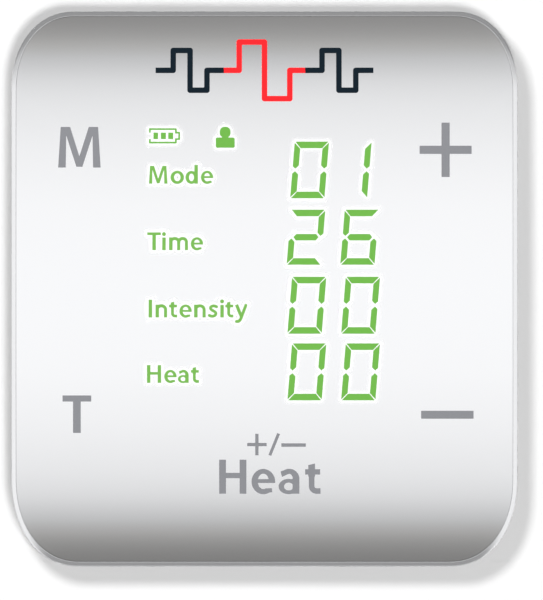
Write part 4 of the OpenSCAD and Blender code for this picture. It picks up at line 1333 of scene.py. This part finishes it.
def belt_clip():
    clip_low, clip_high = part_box("belt_clip")
    half_width = (clip_high.x - clip_low.x) / MM / 2
    middle = [(v, (inner + outer) / 2) for v, inner, outer in CLIP_LINE]
    path = np.array(spline([(-5.62, -4.95)] + middle + [(-60.45, -3.2)], 7))
    run = np.concatenate([[0], np.cumsum(np.hypot(*np.diff(path, axis=0).T))])
    total = run[-1]

    def at(distance):
        return [np.interp(distance, run, path[:, k]) for k in (0, 1)]
    # stations along the clip, closer near both ends
    stations = sorted({*np.linspace(0, 5.2, 26), *np.linspace(5.2, total - 4.4, 70),
                       *np.linspace(total - 4.4, total, 26)})
    loops = []
    for station in stations:
        v, w = at(station)
        ahead, behind = at(min(total, station + 0.2)), at(max(0, station - 0.2))
        step_v, step_w = ahead[0] - behind[0], ahead[1] - behind[1]
        length = math.hypot(step_v, step_w)
        out_v, out_w = -step_w / length, step_v / length
        if out_w > 0:                     # point away from the body
            out_v, out_w = -out_v, -out_w
        from_top, from_tip = station, total - station
        half = half_width
        if from_top < 5:
            half = half_width - 5 + math.sqrt(max(0.0, 25 - (5 - from_top) ** 2))
        if from_tip < 4:
            half = min(half, half_width - 4 + math.sqrt(max(0.0, 16 - (4 - from_tip) ** 2)))
        half = max(half, 0.3)
        thick, crown = CLIP_HALF_THICK, CLIP_CROWN
        end = min(from_top, from_tip)
        if end < CLIP_EDGE:
            thick += math.sqrt(max(0.0, CLIP_EDGE ** 2 - (CLIP_EDGE - end) ** 2)) - CLIP_EDGE
            crown = 0.0
        loop = []
        for x, y in rounded_rect(half, thick, min(CLIP_EDGE, thick * 0.98), 6):
            if y > 0:
                y -= CLIP_CROWN - crown * (1 - (x / half_width) ** 2)
            loop.append((x, HEIGHT + v + y * out_v, w + y * out_w))
        loops.append(loop)
    clip = loft(loops)
    # four grooves across the upper end
    reach = half_width - 4.2
    groove = [(0.0, -reach - 0.38), (0.2, -reach - 0.32), (0.38, -reach), (0.38, reach),
              (0.2, reach + 0.32), (0.0, reach + 0.38)]
    for i in range(4):
        cut(clip, lathe(groove, "u", (0, HEIGHT - 8.1 - i * 1.6, -5.86), 24))
    for s in (-1, 1):
        weld(clip, hinge_lug(s * 7.6, half=1.2, radius=1.72, start=0.0, foot=[(2.1, -4.5)],
                             rim=0.14, step=0.04))
    cut(clip, rod(HINGE_BORE, -12.5, 12.5, "u", (0, HINGE_V, HINGE_W), 40))
    finish(clip, "belt_clip_skin", "clip_plastic", "belt_clip", body="clip", angle=34)


def clip_pin():
    profile = [(0.0, -11.1), (0.55, -11.1), (0.69, -11.04), (0.75, -10.92), (0.75, 10.92),
               (0.69, 11.04), (0.55, 11.1), (0.0, 11.1)]
    finish(lathe(profile, "u", (0, HINGE_V, HINGE_W), 40), "clip_pin_skin", "screw_steel",
           "clip_pin", angle=40)


def clip_spring():
    """Coil on the pin: it and its leg on the shell stay with the unit, and the leg on the clip
    goes with the clip, along with the last quarter turn."""
    radius, per_turn, turns, wire, sides = 1.3, 28, 6.5, 0.27, 12
    span = turns * 0.64
    last = int(per_turn * turns)

    def coil(i):
        turn = 2 * math.pi * i / per_turn
        return (-span / 2 + span * (i / per_turn) / turns, HINGE_V - radius * math.sin(turn),
                HINGE_W + radius * math.cos(turn))
    shell_part = [(-span / 2, HINGE_V + 7 * (1 - part), HINGE_W + radius + 0.35 * (1 - part))
                  for part in (0, 0.25, 0.5, 0.75, 0.92)]
    shell_part += [coil(i) for i in range(last - 6)]
    clip_part = [coil(last - 6.95)] + [coil(i) for i in range(last - 6, last + 1)]
    clip_part += [(span / 2, HINGE_V + 7 * part, HINGE_W - radius - 0.33 * part)
                  for part in (0.08, 0.25, 0.5, 0.75, 1)]
    for name, path, tip, body, replaces in (
            ("clip_spring_skin", shell_part, 0, "unit", "clip_spring"),
            ("clip_spring_arm", clip_part, len(clip_part) - 1, "clip", None)):
        path = [Vector(point) for point in path]
        loops = []
        for i, point in enumerate(path):
            along = (path[min(i + 1, len(path) - 1)] - path[max(i - 1, 0)]).normalized()
            over = along.cross(Vector((1, 0, 0))).normalized()
            across = over.cross(along)
            thick = wire * (0.8 if i == tip else 1.0)
            angles = [2 * math.pi * j / sides for j in range(sides)]
            loops.append([tuple(point + thick * (math.cos(a) * across + math.sin(a) * over))
                          for a in angles])
        finish(loft(loops), name, "spring_steel", replaces, body=body, angle=50, tidy=False)


case_screws()
blank_label()
belt_clip()
clip_pin()
clip_spring()

# ------------------------------------------------------------------ camera
scene = bpy.context.scene
CAMERA_DISTANCE = 0.70
VIEW_WIDTH = 78.26087 * PRINT_FIT * MM    # seen across the picture, at the panel
camera_place = Vector((0.91304 * PRINT_FIT * MM, (BACK_Y - 13.4) * MM - CAMERA_DISTANCE,
                       34.76087 * PRINT_FIT * MM))
camera = bpy.data.cameras.new("camera")
camera.sensor_width = 36.0
camera.sensor_fit = "AUTO"
camera.lens = camera.sensor_width / 2 / ((VIEW_WIDTH / 2) / (CAMERA_DISTANCE - 0.0011))
camera.clip_start, camera.clip_end = 0.02, 20
camera_object = add_object("camera", camera)
camera_object.location = camera_place
camera_object.rotation_euler = (math.radians(90), 0, 0)
scene.camera = camera_object


# ------------------------------------------------------------------ floor and backdrop
def at_home_camera(graph):
    """1 for a ray straight from the home camera, else 0; also the geometry node."""
    geometry = graph.node("NewGeometry")
    distance = graph.node("CameraData").outputs["View Distance"]
    ray = graph.node("LightPath").outputs["Is Camera Ray"]
    back = graph.node("VectorMath", {0: geometry.outputs["Incoming"], "Scale": distance},
                      operation="SCALE").outputs[0]
    origin = graph.node("VectorMath", {0: geometry.outputs["Position"], 1: back},
                        operation="ADD").outputs[0]
    away = graph.node("VectorMath", {0: origin, 1: camera_place}, operation="DISTANCE")
    near = graph.math("LESS_THAN", away.outputs["Value"], 0.02)
    return graph.math("MULTIPLY", near, ray), geometry


def floor_material():
    """Pale near the unit and white further off, one-sided, and unseen from the home camera,
    which would see it edge-on."""
    graph = new_graph("pale_floor")
    home, geometry = at_home_camera(graph)
    hidden = graph.math("MAXIMUM", home, geometry.outputs["Backfacing"])
    colour = graph.mix(graph.noise(60, detail=2), (0.86, 0.86, 0.865, 1), (0.88, 0.88, 0.885, 1))
    matt = graph.node("BsdfDiffuse", {"Color": colour}).outputs[0]
    far = graph.node("VectorMath", {0: geometry.outputs["Position"]},
                     operation="LENGTH").outputs["Value"]
    sweep = graph.smooth(far, 0.07, 0.26)
    white = graph.node("Emission", {"Color": (1, 1, 1, 1), "Strength": 1.0}).outputs[0]
    seen = graph.mix_shader(sweep, matt, white)
    clear = graph.node("BsdfTransparent").outputs[0]
    return graph.surface(graph.mix_shader(hidden, seen, clear))


def backdrop_material():
    """Seen by the home camera only."""
    graph = new_graph("pale_backdrop")
    home, _ = at_home_camera(graph)
    matt = graph.node("BsdfDiffuse", {"Color": (0.24, 0.24, 0.24, 1)}).outputs[0]
    clear = graph.node("BsdfTransparent").outputs[0]
    return graph.surface(graph.mix_shader(home, clear, matt))


def stage_piece(name, verts, faces, material):
    mesh = bpy.data.meshes.new(name)
    mesh.from_pydata(verts, [], faces)
    mesh.materials.append(material)
    piece = add_object(name, mesh)
    return piece


def backdrop():
    """A sheet at the unit's back face, open behind the unit, that takes its soft shadow."""
    hole = outline(2.2, 12)
    count = len(hole)
    rim = [(u * MM, BACK_Y * MM, v * MM) for u, v in hole]
    wide = [(9 * u * MM, BACK_Y * MM, (MID + 9 * (v - MID)) * MM) for u, v in hole]
    faces = [(i, count + i, count + (i + 1) % count, (i + 1) % count) for i in range(count)]
    return stage_piece("backdrop", rim + wide, faces, backdrop_material())


floor = stage_piece("floor", [(-3, -3, -2e-5), (3, -3, -2e-5), (3, 3, -2e-5), (-3, 3, -2e-5)],
                    [(0, 1, 2, 3)], floor_material())
floor.visible_glossy = False
floor.visible_diffuse = False
floor.visible_shadow = False
wall = backdrop()

# ------------------------------------------------------------------ world
BAND_RANGE = 16.0         # degrees above and below eye level that the ramp covers
RAMP_PEAK = 1.5           # brightness that the ramp's full white stands for


def band(angle):
    """Brightness of the studio at an angle above eye level: a white band, dim beyond it."""
    x = min(max((abs(angle) - 8.0) / 5.5, 0.0), 1.0)
    fall = x * x * (3 - 2 * x)
    return (1.0 - 0.014 * abs(angle)) * (1 - fall) + (0.45 if angle > 0 else 0.34) * fall


def studio():
    """White to the camera, even for soft light, and a banded studio for reflections."""
    world = bpy.data.worlds.new("studio")
    scene.world = world
    graph = Graph(world, "OutputWorld")
    calc, smooth = graph.math, graph.smooth
    ray = graph.node("LightPath").outputs
    direction = graph.node("TexCoord").outputs["Generated"]
    x, _, z = graph.node("SeparateXYZ", {0: direction}).outputs
    aside, upright = calc("ABSOLUTE", x), calc("ABSOLUTE", z)
    degrees = calc("MULTIPLY", calc("ARCSINE", z), 180 / math.pi)
    stops = []
    for i in range(31):
        angle = BAND_RANGE * (i - 15) / 15
        stops.append((angle / (2 * BAND_RANGE) + 0.5, (band(angle) / RAMP_PEAK,) * 3 + (1,)))
    ramp = graph.ramp(calc("MULTIPLY_ADD", degrees, 1 / (2 * BAND_RANGE), 0.5), stops)
    near = graph.node("RGBToBW", {0: ramp}).outputs[0]
    # to the sides, the band gives way to grey flanks; sooner below eye level than above it
    ratio = calc("DIVIDE", aside, calc("ADD", upright, 1e-4))
    low = calc("LESS_THAN", z, 0.0)
    side_low = calc("MULTIPLY", low, smooth(ratio, 0.45, 0.85))
    side_high = calc("MULTIPLY", calc("SUBTRACT", 1.0, low), smooth(ratio, 2.4, 4.2))
    side = calc("MULTIPLY", calc("ADD", side_low, side_high), smooth(aside, 0.11, 0.24))
    flank = calc("SUBTRACT", 0.90, calc("MULTIPLY", smooth(aside, 0.60, 0.95), 0.40))
    # far from eye level the band dims again, and steeply below there is a soft extra light
    dimming = calc("MULTIPLY", smooth(upright, 0.275, 0.36),
                   calc("MULTIPLY_ADD", low, -0.22, 0.72))
    level = calc("MULTIPLY", calc("MULTIPLY", near, RAMP_PEAK), calc("SUBTRACT", 1.0, dimming))
    below = calc("MULTIPLY", smooth(calc("MULTIPLY", degrees, -1.0), 48.0, 68.0), 0.36)
    value = calc("ADD", calc("MULTIPLY", level, calc("SUBTRACT", 1.0, side)),
                 calc("MULTIPLY", side, flank))
    value = calc("ADD", value, below)
    soft = graph.node("Background", {"Color": (1, 1, 1, 1), "Strength": 0.80}).outputs[0]
    gloss = graph.node("Background", {"Color": value}).outputs[0]
    plain = graph.node("Background", {"Color": (1, 1, 1, 1)}).outputs[0]
    lighting = graph.mix_shader(ray["Is Glossy Ray"], soft, gloss)
    graph.surface(graph.mix_shader(ray["Is Camera Ray"], lighting, plain))


studio()

# ------------------------------------------------------------------ lamps
FRONT_Y = (BACK_Y - 13.9) * MM
MID_Z = MID * MM
# name, place, diameter, power, and whether the backdrop is left out or is all that is lit
LAMPS = [
    ("front", (-0.0103, FRONT_Y - 0.245, MID_Z + 0.0134), 0.026, 0.30, "EXCLUDE"),
    ("key", (-0.42, -0.55, 0.55), 0.22, 2.4, "EXCLUDE"),
    ("rear_fill", (0.50, 0.60, 0.50), 0.40, 1.6, "EXCLUDE"),
    ("backdrop_high", (-0.0494, FRONT_Y - 0.45, MID_Z + 0.0646), 0.048, 3.62, "INCLUDE"),
    ("backdrop_low", (0.028, FRONT_Y - 0.60, MID_Z - 0.040), 0.052, 7.32, "INCLUDE"),
]


def lamp(name, place, diameter, power, link_state):
    light = bpy.data.lights.new(name, "AREA")
    light.shape = "DISK"
    light.size = diameter
    light.energy = power
    piece = add_object(name, light)
    piece.location = place
    aim = Vector((0, 0, MID_Z)) - Vector(place)
    piece.rotation_euler = aim.to_track_quat("-Z", "Y").to_euler()
    piece.visible_camera = False
    piece.visible_glossy = False
    receivers = bpy.data.collections.new("wall_and_" + name)
    receivers.objects.link(wall)
    receivers.collection_objects[0].light_linking.link_state = link_state
    piece.light_linking.receiver_collection = receivers


for row in LAMPS:
    lamp(*row)

scene.view_settings.view_transform = "Standard"
scene.view_settings.look = "None"
scene.view_settings.exposure = 0.0
scene.view_settings.gamma = 1.0
